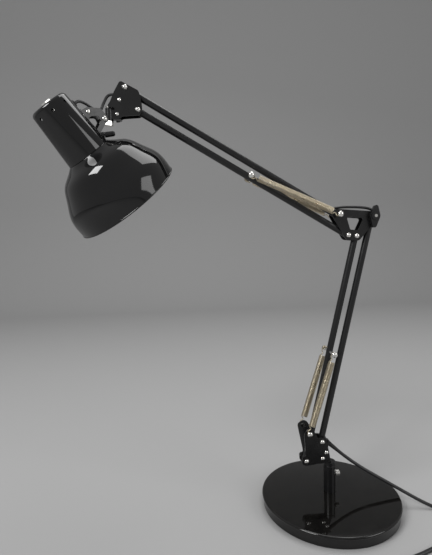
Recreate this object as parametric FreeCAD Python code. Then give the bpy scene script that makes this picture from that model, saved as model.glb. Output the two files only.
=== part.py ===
import FreeCAD, Part
import math
import os

# Spring-balanced desk lamp, millimetres. Origin: centre of the base's underside, +Z up.
# The arms lie in the XZ plane: the elbow is towards +X and the shade towards -X.

# ---------------------------------------------------------------- driving dimensions
BASE_RADIUS = 115.0
BASE_SKIRT_RADIUS = 113.0
BASE_RIM_HEIGHT = 19.5
BASE_TOP_HEIGHT = 24.0
SHEET = 1.5                      # pressed steel of the cheek plates
CHEEK_INSIDE = 6.5               # half the gap between a pair of cheek plates
CHEEK_OUTSIDE = CHEEK_INSIDE + SHEET

TUBE_RADIUS = 5.25               # arm tubes
TUBE_BORE = 4.25
PIVOT_RADIUS = 2.0
PIVOT_HOLE = 2.05

LOWER_LENGTH = 386.0             # pivot to pivot, front and rear tube
LOWER_TILT = 13.3                # from the vertical, towards +X
UPPER_LENGTH = 388.0             # pivot to pivot, lower and top tube
UPPER_RISE = 30.8                # above the horizontal, towards -X

FOOT_FRONT = (-42.0, 81.5)       # pivot of the front tube in the foot bracket
FOOT_REAR = (-14.5, 113.0)       # pivot of the rear tube
FOOT_SPRING = (-40.5, 134.7)     # studs of the lower springs
ELBOW_UPPER_OFFSET = (-14.0, 1.5)   # front tube's top pivot to the lower upper-arm tube's pivot
HEAD_LINK = (-18.5, 33.5)        # lower tube's pivot to the top tube's pivot, at both ends

LOWER_SPRING_REACH = 188.8       # along the front tube from its foot pivot
UPPER_SPRING_REACH = 188.0       # along the lower tube from its elbow pivot
LOWER_SPRING_Y = 21.5
UPPER_SPRING_Y = 18.5
SPRING_WIRE = 1.6
SPRING_COIL_RADIUS = 4.7         # centre line of the wire
SPRING_PIN_RADIUS = 2.5
SPRING_EYE_RADIUS = 3.6          # centre line of the eye's wire
LOWER_SPRING_TURNS = 14
UPPER_SPRING_TURNS = 16

SOCKET_RADIUS = 9.75
SOCKET_TOP = 70.0
SWIVEL_PIN_RADIUS = 6.0
THUMB_SCREW_HEIGHT = 54.0

SWIVEL_X = -344.7                # vertical axis of the head's swivel pin
HEAD_TURN = 31.4                 # the head's direction, from +X towards +Y
HEAD_DIP = 48.54                 # the shade's axis below the horizontal
TILT_OUT = 10.9                  # from the swivel axis out to the tilt bolt
TILT_HEIGHT = 641.5
TILT_ALONG = -22.7               # the tilt bolt in the head's own frame: along the shade's axis
TILT_ABOVE = 53.8                # and square to it
NECK_LENGTH = 84.5
NECK_TOP_RADIUS = 28.5
NECK_SEAM_RADIUS = 34.8
SHADE_PROFILE = [(0.0, 34.8), (4.25, 40.3), (17.0, 59.7), (37.0, 73.0), (60.0, 85.5), (89.0, 88.0)]
SHELL = 1.0                      # spun sheet of the neck and the shade

EAR_SLOPE = math.radians(19.0)   # the foot bracket's ears flare outwards above the fold
EAR_REACH = 46.0
TANG_RIVETS = [(-14.0, 84.0), (-7.5, 94.0)]
KNUCKLE_RIVET = (-332.2, 650.5)
PLATE_RIVET = (-328.0, 672.0)
LUG_HALF = 6.3                   # half the width of the lug that the head tilts on
STRAP_INSIDE = 6.6               # the head strap's cheeks, either side of the lug
STRAP_OUTSIDE = 8.2
STRAP_RIVETS = (-41.0, -48.0)    # along the shade's axis
STRAP_BOLT = (-43.9, 39.6)
GROMMET_ALONG = -63.9

REAR_SLOT_DOWN = 15.0            # the lead's slot in the rear tube, below the elbow pivot
FOOT_SLOT_UP = 9.0               # and above the foot pivot
TOP_SLOT_IN = 15.0               # the lead's slot in the top tube, inboard of the elbow pivot
HEAD_SLOT_IN = 16.0              # and inboard of the head pivot
SLOT_LENGTH = 16.0
SLOT_WIDTH = 6.4
LEAD_RADIUS = 2.2
LEAD_STEP = 9.5                  # a lead's tube inside an arm starts this far from its slot

CORD_DIAMETER = 5.6
CORD_RADIUS = CORD_DIAMETER / 2.0
SLEEVE_LENGTH = 20.0
COIL_CENTRE = (22.0, -194.0)
COIL_TURNS_PER_LAYER = 3.25
COIL_INNER_RADIUS = 20.8
COIL_PITCH = 6.2                 # from turn to turn, and from layer to layer
COIL_FLOOR = 3.8                 # height of the lower layer: the tie passes under it
COIL_START = math.radians(100.0)
PLUG_AXIS = 7.0                  # half the plug's thickness: it lies flat


# ---------------------------------------------------------------- helpers
def vec(x, y, z):
    return FreeCAD.Vector(x, y, z)


def unit(vector):
    return vector * (1.0 / vector.Length)


def xz(point, y=0.0):
    return vec(point[0], y, point[1])


def rod(start, end, radius):
    axis = end - start
    return Part.makeCylinder(radius, axis.Length, start, axis)


def cross_rod(point, y_start, y_end, radius):
    """A round bar along Y through a point of the arm plane."""
    return rod(xz(point, y_start), xz(point, y_end), radius)


def fuse(shapes):
    joined = shapes[0].multiFuse(shapes[1:]) if len(shapes) > 1 else shapes[0]
    return joined.removeSplitter()


def save(name, shape):
    solids = shape.Solids
    body = solids[0] if len(solids) == 1 else Part.makeCompound(solids)
    bad = [s for s in solids if not s.isValid() or s.Volume <= 0]
    box = body.BoundBox
    print(f"{name:24s} solids {len(solids)} volume {body.Volume:10.1f} "
          f"x {box.XMin:7.1f} {box.XMax:7.1f} y {box.YMin:7.1f} {box.YMax:7.1f} "
          f"z {box.ZMin:7.1f} {box.ZMax:7.1f}{' INVALID' if bad or not solids else ''}")
    body.exportStep(f"parts/{name}.step")
    return body


class Plane:
    """A drawing plane: an origin and two directions."""

    def __init__(self, origin, across, up):
        self.origin = origin
        self.across = unit(across)
        self.up = unit(up)
        self.normal = self.across.cross(self.up)

    def at(self, u, v, out=0.0):
        return self.origin + self.across * u + self.up * v + self.normal * out

    def face(self, wire_edges):
        return Part.Face(Part.Wire(wire_edges))

    def rounded(self, corners):
        """A closed outline of straight sides, each corner (u, v, radius) rounded."""
        edges = []
        ends = []
        count = len(corners)
        for i, (u, v, radius) in enumerate(corners):
            here = vec(u, v, 0)
            before = unit(vec(*corners[i - 1][:2], 0) - here)
            after = unit(vec(*corners[(i + 1) % count][:2], 0) - here)
            half = before.getAngle(after) / 2.0
            if radius <= 0 or half > math.pi / 2 - 1e-4:
                ends.append((here, None, here))
                continue
            back = radius / math.tan(half)
            middle = here + unit(before + after) * (radius / math.sin(half) - radius)
            ends.append((here + before * back, middle, here + after * back))
        for i, (start, middle, end) in enumerate(ends):
            if middle is not None:
                points = [self.at(p.x, p.y) for p in (start, middle, end)]
                edges.append(Part.Arc(*points).toShape())
            following = ends[(i + 1) % count][0]
            if (following - end).Length > 1e-6:
                edges.append(Part.LineSegment(self.at(end.x, end.y),
                                              self.at(following.x, following.y)).toShape())
        return self.face(edges)

    def hull(self, circles):
        """The outline round circles (u, v, radius), named anticlockwise."""
        edges = []
        tangents = []
        count = len(circles)
        for i, (u, v, radius) in enumerate(circles):
            u2, v2, radius2 = circles[(i + 1) % count]
            way = vec(u2 - u, v2 - v, 0)
            lean = (radius - radius2) / way.Length
            way = unit(way)
            side = vec(way.y, -way.x, 0)
            normal = way * lean + side * math.sqrt(1 - lean * lean)
            tangents.append(normal)
        for i, (u, v, radius) in enumerate(circles):
            centre = vec(u, v, 0)
            arriving = tangents[i - 1]
            leaving = tangents[i]
            turn = math.atan2(arriving.cross(leaving).z, arriving.dot(leaving)) % (2 * math.pi)
            half = turn / 2.0
            middle = vec(arriving.x * math.cos(half) - arriving.y * math.sin(half),
                         arriving.x * math.sin(half) + arriving.y * math.cos(half), 0)
            points = [centre + n * radius for n in (arriving, middle, leaving)]
            edges.append(Part.Arc(*[self.at(p.x, p.y) for p in points]).toShape())
            u2, v2, radius2 = circles[(i + 1) % count]
            end = vec(u2, v2, 0) + leaving * radius2
            edges.append(Part.LineSegment(self.at(points[2].x, points[2].y),
                                          self.at(end.x, end.y)).toShape())
        return self.face(edges)

    def slab(self, face, out_start, out_end):
        moved = face.copy()
        moved.translate(self.normal * out_start)
        return moved.extrude(self.normal * (out_end - out_start))


def revolve(points, origin, axis, out):
    """A solid of revolution from (along, radius) points joined by straight lines."""
    corners = [origin + axis * along + out * radius for along, radius in points]
    edges = [Part.LineSegment(corners[i], corners[(i + 1) % len(corners)]).toShape()
             for i in range(len(corners))]
    return Part.Face(Part.Wire(edges)).revolve(origin, axis, 360)


def tangent_arc(start, tangent, end):
    """The arc, or straight line, from start along tangent to end."""
    chord = end - start
    along = unit(chord)
    side = tangent - along * tangent.dot(along)
    if side.Length < 1e-5:
        return Part.LineSegment(start, end).toShape()
    bend = math.atan2(side.Length, tangent.dot(along))
    middle = (start + end) * 0.5 + unit(side) * (chord.Length / 2.0 * math.tan(bend / 2.0))
    return Part.Arc(start, middle, end).toShape()


def biarc(start, start_way, end, end_way):
    """Two arcs that leave start and reach end along the given directions."""
    chord = end - start
    a = 2.0 * (start_way.dot(end_way) - 1.0)
    b = -2.0 * chord.dot(start_way + end_way)
    c = chord.dot(chord)
    if abs(a) < 1e-9:
        reach = -c / b
    else:
        root = math.sqrt(b * b - 4 * a * c)
        reach = min(r for r in ((-b + root) / (2 * a), (-b - root) / (2 * a)) if r > 0)
    middle = (start + start_way * reach + end - end_way * reach) * 0.5
    return [tangent_arc(start, start_way, middle), tangent_arc(end, end_way * -1.0, middle)]


def pipe(edges, start, way, radius):
    """A round tube along tangent edges that begin at start."""
    profile = Part.Wire(Part.Circle(start, way, radius).toShape())
    path = Part.Wire(edges)
    return path.makePipeShell([profile], True, False)


def least_gap(edges, diameter, apart):
    """The smallest free gap between places of one tube that lie further apart along it."""
    places = []
    run = 0.0
    for edge in edges:
        points = edge.discretize(max(3, int(edge.Length / 1.2) + 1))
        if places and (points[0] - places[-1][1]).Length > (points[-1] - places[-1][1]).Length:
            points.reverse()
        step = edge.Length / (len(points) - 1)
        for point in points[:-1]:
            places.append((run, point))
            run += step
    least = 1e9
    for i, (here, point) in enumerate(places):
        for there, other in places[i + 1:]:
            if there - here > apart:
                least = min(least, (point - other).Length)
    return least - diameter


# ---------------------------------------------------------------- places
def polar(length, degrees_from_x):
    angle = math.radians(degrees_from_x)
    return (length * math.cos(angle), length * math.sin(angle))


def plus(a, b, scale=1.0):
    return (a[0] + b[0] * scale, a[1] + b[1] * scale)


LOWER_WAY = polar(1.0, 90.0 - LOWER_TILT)
UPPER_WAY = polar(1.0, 180.0 - UPPER_RISE)
FOOT_LINK = plus(FOOT_REAR, FOOT_FRONT, -1.0)
ELBOW_FRONT = plus(FOOT_FRONT, LOWER_WAY, LOWER_LENGTH)
ELBOW_REAR = plus(ELBOW_FRONT, FOOT_LINK)
ELBOW_LOWER = plus(ELBOW_FRONT, ELBOW_UPPER_OFFSET)
ELBOW_TOP = plus(ELBOW_LOWER, HEAD_LINK)
HEAD_LOWER = plus(ELBOW_LOWER, UPPER_WAY, UPPER_LENGTH)
HEAD_TOP = plus(HEAD_LOWER, HEAD_LINK)
LOWER_SPRING_PIN = plus(FOOT_FRONT, LOWER_WAY, LOWER_SPRING_REACH)
UPPER_SPRING_PIN = plus(ELBOW_LOWER, UPPER_WAY, UPPER_SPRING_REACH)

FOLD_LOW = vec(-44.2, 0, 88.6)   # the fold below the foot bracket's ears
FOLD_HIGH = vec(-20.9, 0, 113.5)
REAR_OUT = vec(LOWER_WAY[1], 0, -LOWER_WAY[0])       # square to the rear tube, away from the front tube
TOP_OUT = vec(UPPER_WAY[1], 0, -UPPER_WAY[0])        # square to the top tube, upwards
CORD_WAY = unit(vec(0.744, 0, -0.668))
CORD_GRIP = vec(-3.4, 0, 109.3)
CORD_EXIT = CORD_GRIP + CORD_WAY * (2.5 + SLEEVE_LENGTH)
LEAD_BY_GRIP = vec(-6.3, 0, 113.3)                      # the foot lead bends here into the grip

ARM_PLANE = Plane(vec(0, 0, 0), vec(1, 0, 0), vec(0, 0, 1))   # its normal is -Y
X_AXIS = vec(1, 0, 0)
Y_AXIS = vec(0, 1, 0)
Z_AXIS = vec(0, 0, 1)


# ---------------------------------------------------------------- base
def base_parts():
    top = BASE_TOP_HEIGHT
    rim = BASE_RIM_HEIGHT
    skirt = BASE_SKIRT_RADIUS
    wall = 1.2
    stud = 4.9
    hole = stud + 0.1

    def at(radius, z):
        return vec(radius, 0, z)

    def line(a, b):
        return Part.LineSegment(at(*a), at(*b)).toShape()

    def arc(a, b, c):
        return Part.Arc(at(*a), at(*b), at(*c)).toShape()

    cover = [
        line((skirt - wall, 2.0), (skirt, 2.0)),
        line((skirt, 2.0), (skirt, rim - 5.0)),
        arc((skirt, rim - 5.0), (BASE_RADIUS, rim - 2.6), (skirt - 0.6, rim + 0.2)),
        arc((skirt - 0.6, rim + 0.2), (70.0, rim + 2.9), (12.0, top)),
        line((12.0, top), (hole, top)),
        line((hole, top), (hole, top - wall)),
        line((hole, top - wall), (12.0, top - wall)),
        arc((12.0, top - wall), (70.0, rim + 2.9 - wall), (skirt - wall, rim - 1.2)),
        line((skirt - wall, rim - 1.2), (skirt - wall, 2.0)),
    ]
    save("base_cover", Part.Face(Part.Wire(cover)).revolve(vec(0, 0, 0), Z_AXIS, 360))

    weight = revolve([(2.0, 13.0), (2.0, 109.0), (4.0, 111.0), (15.0, 111.0), (17.0, 109.0),
                      (19.6, 60.0), (21.6, 20.0), (22.4, hole), (13.0, hole), (13.0, 13.0)],
                     vec(0, 0, 0), Z_AXIS, X_AXIS)
    save("base_weight", weight)

    pad = revolve([(0.0, 0.0), (0.0, 111.4), (0.6, 112.0), (2.0, 112.0), (2.0, 0.0)],
                  vec(0, 0, 0), Z_AXIS, X_AXIS)
    save("base_pad", pad)

    floor = 29.0
    socket = revolve([(top, 0.0), (top, SOCKET_RADIUS), (SOCKET_TOP - 0.8, SOCKET_RADIUS),
                      (SOCKET_TOP, SOCKET_RADIUS - 0.8), (SOCKET_TOP, SWIVEL_PIN_RADIUS + 0.05),
                      (floor, SWIVEL_PIN_RADIUS + 0.05), (floor, 0.0)],
                     vec(0, 0, 0), Z_AXIS, X_AXIS)
    socket = fuse([socket, rod(vec(0, 0, 4.0), vec(0, 0, top + 0.5), stud)])
    screw_hole = rod(vec(0, 0, THUMB_SCREW_HEIGHT), vec(SOCKET_RADIUS + 2, 0, THUMB_SCREW_HEIGHT), 2.05)
    save("socket_tube", socket.cut(screw_hole))

    nut = Part.makePolygon([vec(9.0 * math.cos(k * math.pi / 3), 9.0 * math.sin(k * math.pi / 3), 4.6)
                            for k in range(7)])
    nut = Part.Face(nut).extrude(Z_AXIS * 6.8)
    washer = rod(vec(0, 0, 11.4), vec(0, 0, 13.0), 11.5)
    bore = rod(vec(0, 0, 0), vec(0, 0, 20), stud)
    save("socket_nut", Part.makeCompound([nut.cut(bore), washer.cut(bore)]))

    grip_start = SOCKET_RADIUS + 0.4
    centre = vec(0, 0, THUMB_SCREW_HEIGHT)
    screw = revolve([(SWIVEL_PIN_RADIUS + 0.3, 0.0), (SWIVEL_PIN_RADIUS + 0.3, 2.0),
                     (grip_start, 2.0), (grip_start, 3.6), (grip_start + 0.6, 4.2),
                     (16.8, 4.2), (17.4, 3.6), (17.4, 0.0)],
                    centre, X_AXIS, Z_AXIS)
    for k in range(10):
        angle = k * math.pi / 5
        groove = vec(0, 4.5 * math.cos(angle), THUMB_SCREW_HEIGHT + 4.5 * math.sin(angle))
        screw = screw.cut(rod(groove + X_AXIS * (grip_start - 1), groove + X_AXIS * 19.0, 0.7))
    save("thumb_screw", screw)


# ---------------------------------------------------------------- foot bracket
def pressed_cheek(side):
    """One cheek of the foot bracket: flat below the fold, its ear flared outwards above it."""
    along = unit(FOLD_HIGH - FOLD_LOW)
    up = vec(-along.z, 0, along.x)

    def at(n, y):
        return FOLD_LOW - along * 60.0 + up * n + vec(0, side * y, 0)

    rise = EAR_REACH * math.tan(EAR_SLOPE)
    shift = SHEET * math.tan(EAR_SLOPE / 2.0)
    inner = CHEEK_INSIDE
    section = [at(-80, inner), at(0, inner), at(EAR_REACH, inner + rise),
               at(EAR_REACH - SHEET * math.sin(EAR_SLOPE), inner + rise + SHEET * math.cos(EAR_SLOPE)),
               at(-shift, inner + SHEET), at(-80, inner + SHEET)]
    sheet = Part.Face(Part.makePolygon(section + [section[0]])).extrude(along * 160.0)
    outline = ARM_PLANE.rounded([
        (-50.0, 73.8, 7.4), (-28.0, 75.2, 12), (-26.0, 76.2, 3), (1.0, 76.2, 1.5), (-0.7, 81.0, 3),
        (-6.4, 112.0, 10), (-8.4, 121.0, 5), (-22.8, 121.6, 3), (-35.6, 144.4, 7), (-49.8, 136.0, 7),
        (-44.2, 98.0, 20), (-43.6, 91.0, 3), (-50.0, 89.4, 4)])
    block = ARM_PLANE.slab(outline, -40, 40)
    holes = [cross_rod(FOOT_FRONT, -40, 40, PIVOT_RADIUS), cross_rod(FOOT_REAR, -40, 40, PIVOT_RADIUS),
             cross_rod(FOOT_SPRING, -40, 40, SPRING_PIN_RADIUS + 0.05)]
    holes += [cross_rod(place, -40, 40, PIVOT_RADIUS) for place in TANG_RIVETS]
    return sheet.common(block).cut(Part.makeCompound(holes))


def rivet(point, y_head, radius, head_radius, head_height, y_tail=None):
    """A rivet along Y with a domed head at each end; y_head is where the head meets the plate."""
    tail = -y_head if y_tail is None else y_tail
    shank = cross_rod(point, y_head, tail, radius)
    heads = []
    for y, way in ((y_head, -1.0 if y_head < tail else 1.0), (tail, 1.0 if y_head < tail else -1.0)):
        heads.append(dome(xz(point, y), vec(0, way, 0), head_radius, head_height))
    return fuse([shank] + heads)


def dome(centre, way, radius, height):
    """A round head: a ball's cap of the given height on a flat seat."""
    ball = (radius * radius + height * height) / (2.0 * height)
    sphere = Part.makeSphere(ball, centre + way * (height - ball))
    seat = Part.makeCylinder(radius + 1, height + 1, centre, way)
    return sphere.common(seat)


def washer(point, y_start, y_end, radius, bore):
    low, high = sorted((y_start, y_end))
    return cross_rod(point, low, high, radius).cut(cross_rod(point, low - 1, high + 1, bore))


def bracket_parts():
    for side, name in ((-1, "near"), (1, "far")):
        save(f"bracket_cheek_{name}", pressed_cheek(side))

    pin = revolve([(29.4, 0.0), (29.4, SWIVEL_PIN_RADIUS - 0.8), (30.2, SWIVEL_PIN_RADIUS),
                   (SOCKET_TOP + 0.2, SWIVEL_PIN_RADIUS), (SOCKET_TOP + 0.2, SOCKET_RADIUS - 0.4),
                   (SOCKET_TOP + 0.6, SOCKET_RADIUS), (76.0, SOCKET_RADIUS), (76.0, 0.0)],
                  vec(0, 0, 0), Z_AXIS, X_AXIS)
    tang = ARM_PLANE.rounded([(-22.0, 76.0, 1), (-0.5, 76.0, 0.5), (-2.2, 84.0, 2), (-5.4, 101.0, 3),
                              (-16.0, 101.0, 4), (-22.0, 88.0, 3)])
    tang = ARM_PLANE.slab(tang, -CHEEK_INSIDE, CHEEK_INSIDE)
    post = fuse([pin, tang])
    post = post.cut(Part.makeCompound([cross_rod(p, -9, 9, PIVOT_RADIUS) for p in TANG_RIVETS]))
    save("swivel_post", post)

    rivets = [rivet(p, -CHEEK_OUTSIDE, PIVOT_RADIUS, 3.4, 1.6) for p in TANG_RIVETS]
    rivets += [rivet(p, -CHEEK_OUTSIDE, PIVOT_RADIUS, 4.2, 2.8) for p in (FOOT_FRONT, FOOT_REAR)]
    save("foot_rivets", Part.makeCompound(rivets))
    spacers = [washer(p, side * CHEEK_INSIDE, side * (TUBE_RADIUS + 0.1), 4.6, PIVOT_RADIUS)
               for p in (FOOT_FRONT, FOOT_REAR) for side in (-1, 1)]
    save("foot_spacers", Part.makeCompound(spacers))


# ---------------------------------------------------------------- arm tubes
def arm_tube(start, end, slots=(), holes=()):
    """A round tube with its ends rounded about the pivots that it turns on."""
    a = xz(start)
    b = xz(end)
    way = unit(b - a)
    reach = TUBE_RADIUS + 2
    outer = rod(a - way * reach, b + way * reach, TUBE_RADIUS)
    bore = rod(a - way * (reach + 1), b + way * (reach + 1), TUBE_BORE)
    trim = ARM_PLANE.hull([(start[0], start[1], TUBE_RADIUS), (end[0], end[1], TUBE_RADIUS)])
    tube = outer.cut(bore).common(ARM_PLANE.slab(trim, -20, 20))
    cuts = [cross_rod(p, -20, 20, PIVOT_HOLE) for p in (start, end)]
    cuts += [cross_rod(p, -20, 20, r) for p, r in holes]
    cuts += list(slots)
    return tube.cut(Part.makeCompound(cuts))


def slot_cut(point, way, out):
    """A round-ended slot through one wall of a tube, longer on the side that way points to."""
    plane = Plane(xz(point) + xz(way) * 1.5, xz(way), Y_AXIS)
    half = (SLOT_LENGTH - SLOT_WIDTH) / 2.0
    face = plane.hull([(-half, 0, SLOT_WIDTH / 2.0), (half, 0, SLOT_WIDTH / 2.0)])
    return face.extrude(out * (TUBE_RADIUS + 3.0))


def tube_parts():
    save("front_tube", arm_tube(FOOT_FRONT, ELBOW_FRONT,
                                holes=[(LOWER_SPRING_PIN, SPRING_PIN_RADIUS)]))
    rear_slots = [slot_cut(plus(ELBOW_REAR, LOWER_WAY, -REAR_SLOT_DOWN), LOWER_WAY, REAR_OUT),
                  slot_cut(plus(FOOT_REAR, LOWER_WAY, FOOT_SLOT_UP), plus((0, 0), LOWER_WAY, -1.0), REAR_OUT)]
    save("rear_tube", arm_tube(FOOT_REAR, ELBOW_REAR, slots=rear_slots,
                               holes=[(ELBOW_REAR, SPRING_PIN_RADIUS + 0.05)]))
    save("lower_tube", arm_tube(ELBOW_LOWER, HEAD_LOWER,
                                holes=[(UPPER_SPRING_PIN, SPRING_PIN_RADIUS)]))
    top_slots = [slot_cut(plus(ELBOW_TOP, UPPER_WAY, TOP_SLOT_IN), plus((0, 0), UPPER_WAY, -1.0), TOP_OUT),
                 slot_cut(plus(HEAD_TOP, UPPER_WAY, -HEAD_SLOT_IN), UPPER_WAY, TOP_OUT * -1.0)]
    save("top_tube", arm_tube(ELBOW_TOP, HEAD_TOP, slots=top_slots,
                              holes=[(ELBOW_TOP, SPRING_PIN_RADIUS + 0.05)]))


def spring_pin(name, point, reach):
    """A cross pin with a cap at each end that keeps the spring's eye on."""
    pin = cross_rod(point, -reach, reach, SPRING_PIN_RADIUS)
    caps = [dome(xz(point, side * reach), vec(0, side, 0), 4.6, 2.4) for side in (-1, 1)]
    collars = [cross_rod(point, side * (reach - 2.2), side * reach, 4.6) for side in (-1, 1)]
    save(name, fuse([pin] + caps + collars))


# ---------------------------------------------------------------- springs
def spring(name, start, end, y, turns, radius):
    """A wound spring whose two eyes go round the pins at start and end."""
    a = xz(start, y)
    b = xz(end, y)
    way = unit(b - a)
    side = way.cross(Y_AXIS)
    length = (b - a).Length
    eye = SPRING_EYE_RADIUS
    neck = 13.0
    coil_length = length - 2 * (eye + neck)

    def frame_point(along, angle, r):
        return a + way * along + side * (r * math.cos(angle)) + Y_AXIS * (r * math.sin(angle))

    def eye_points(centre, inward, first, last):
        """Points round a pin, angles from the direction of the coil."""
        turn = 1.0 if last > first else -1.0
        points = []
        for k in range(5):
            angle = math.radians(first + (last - first) * k / 4)
            point = centre + inward * (eye * math.cos(angle)) + side * (eye * math.sin(angle))
            points.append((point, (side * math.cos(angle) - inward * math.sin(angle)) * turn))
        return points

    samples = eye_points(a, way, 320.0, 90.0)          # (point, direction) down the wire
    samples.append((a + way * (eye + 4.0), way))
    coil_start = eye + neck
    pitch = coil_length / turns
    climb = pitch / (2 * math.pi * radius)
    for k in range(turns * 4 + 1):
        angle = k * math.pi / 2
        point = frame_point(coil_start + coil_length * k / (turns * 4), angle, radius)
        around = side * -math.sin(angle) + Y_AXIS * math.cos(angle)
        samples.append((point, unit(way * climb + around)))
    samples.append((b - way * (eye + 4.0), way))
    samples += eye_points(b, way * -1.0, 90.0, 320.0)
    edges = []
    for (p0, t0), (p1, t1) in zip(samples[:-1], samples[1:]):
        edges += biarc(p0, t0, p1, t1)
    solid = pipe(edges, samples[0][0], samples[0][1], SPRING_WIRE / 2.0)
    run = sum(e.Length for e in edges)
    expected = run * math.pi * (SPRING_WIRE / 2.0) ** 2
    tightest = min(e.Curve.Radius for e in edges if hasattr(e.Curve, "Radius"))
    print(f"{name}: wire {run:.1f} long, volume {solid.Volume:.1f} against {expected:.1f}, "
          f"least gap {least_gap(edges, SPRING_WIRE, 7.0):.2f}, tightest bend {tightest:.2f}")
    save(name, solid)


def spring_parts():
    caps = []
    for side in (-1, 1):
        inner = side * 13.4
        stud = cross_rod(FOOT_SPRING, inner, side * 23.2, SPRING_PIN_RADIUS)
        flange = cross_rod(FOOT_SPRING, inner, side * 14.9, 4.0)
        cap = cross_rod(FOOT_SPRING, side * 22.9, side * 24.4, 4.2)
        head = dome(xz(FOOT_SPRING, side * 24.4), vec(0, side, 0), 4.2, 2.0)
        caps.append(fuse([stud, flange, cap, head]))
    save("lower_spring_studs", Part.makeCompound(caps))
    spring_pin("lower_spring_pin", LOWER_SPRING_PIN, 25.2)
    spring_pin("upper_spring_pin", UPPER_SPRING_PIN, 22.0)
    spring_pin("elbow_spring_pin", ELBOW_TOP, 22.0)
    for side, name in ((-1, "near"), (1, "far")):
        spring(f"lower_spring_{name}", FOOT_SPRING, LOWER_SPRING_PIN, side * LOWER_SPRING_Y,
               LOWER_SPRING_TURNS, SPRING_COIL_RADIUS)
        spring(f"upper_spring_{name}", ELBOW_TOP, UPPER_SPRING_PIN, side * UPPER_SPRING_Y,
               UPPER_SPRING_TURNS, SPRING_COIL_RADIUS)


# ---------------------------------------------------------------- elbow
def elbow_parts():
    outline = ARM_PLANE.hull([(*ELBOW_LOWER, 8.0), (*ELBOW_FRONT, 8.0), (*ELBOW_REAR, 7.8), (*ELBOW_TOP, 9.0)])
    window = ARM_PLANE.rounded([(29.0, 488.4, 3), (35.2, 467.4, 3), (48.6, 466.2, 3), (58.0, 485.8, 3)])
    holes = [cross_rod(ELBOW_LOWER, -40, 40, PIVOT_RADIUS), cross_rod(ELBOW_FRONT, -40, 40, PIVOT_RADIUS),
             cross_rod(ELBOW_REAR, -40, 40, SPRING_PIN_RADIUS),
             cross_rod(ELBOW_TOP, -40, 40, SPRING_PIN_RADIUS + 0.05)]
    cutter = Part.makeCompound(holes + [ARM_PLANE.slab(window, -40, 40)])
    for side, name in ((-1, "near"), (1, "far")):
        start, end = sorted((side * CHEEK_INSIDE, side * CHEEK_OUTSIDE))
        plate = ARM_PLANE.slab(outline, -end, -start)
        save(f"elbow_plate_{name}", plate.cut(cutter))
    rivets = [rivet(p, -CHEEK_OUTSIDE, PIVOT_RADIUS, 4.2, 2.8) for p in (ELBOW_LOWER, ELBOW_FRONT)]
    bolt = cross_rod(ELBOW_REAR, -18.6, CHEEK_OUTSIDE, SPRING_PIN_RADIUS)
    bolt_head = fuse([cross_rod(ELBOW_REAR, CHEEK_OUTSIDE, CHEEK_OUTSIDE + 1.2, 4.6),
                      dome(xz(ELBOW_REAR, CHEEK_OUTSIDE + 1.2), Y_AXIS, 4.6, 1.8)])
    save("elbow_rivets", Part.makeCompound(rivets + [fuse([bolt, bolt_head])]))
    spacers = [washer(p, side * CHEEK_INSIDE, side * (TUBE_RADIUS + 0.1), 4.6, bore)
               for p, bore in ((ELBOW_LOWER, PIVOT_RADIUS), (ELBOW_FRONT, PIVOT_RADIUS),
                               (ELBOW_REAR, SPRING_PIN_RADIUS))
               for side in (-1, 1)]
    spacers.append(washer(ELBOW_REAR, -CHEEK_OUTSIDE - 1.2, -CHEEK_OUTSIDE, 6.5, SPRING_PIN_RADIUS))
    save("elbow_spacers", Part.makeCompound(spacers))
    x, z = ELBOW_REAR
    wings = [ARM_PLANE.hull([(x, z, 8.2), (x + 1.6, z + 13.6, 3.6)]),
             ARM_PLANE.hull([(x, z, 8.2), (x - 1.4, z - 15.4, 3.6)])]
    y_start = CHEEK_OUTSIDE + 1.5
    body = fuse([ARM_PLANE.slab(w, y_start, y_start + 6.5) for w in wings]
                + [cross_rod(ELBOW_REAR, -y_start - 8.0, -y_start, 6.6)])
    body = body.cut(cross_rod(ELBOW_REAR, -30, 0, SPRING_PIN_RADIUS + 0.05))
    save("wing_knob", body)


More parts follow.
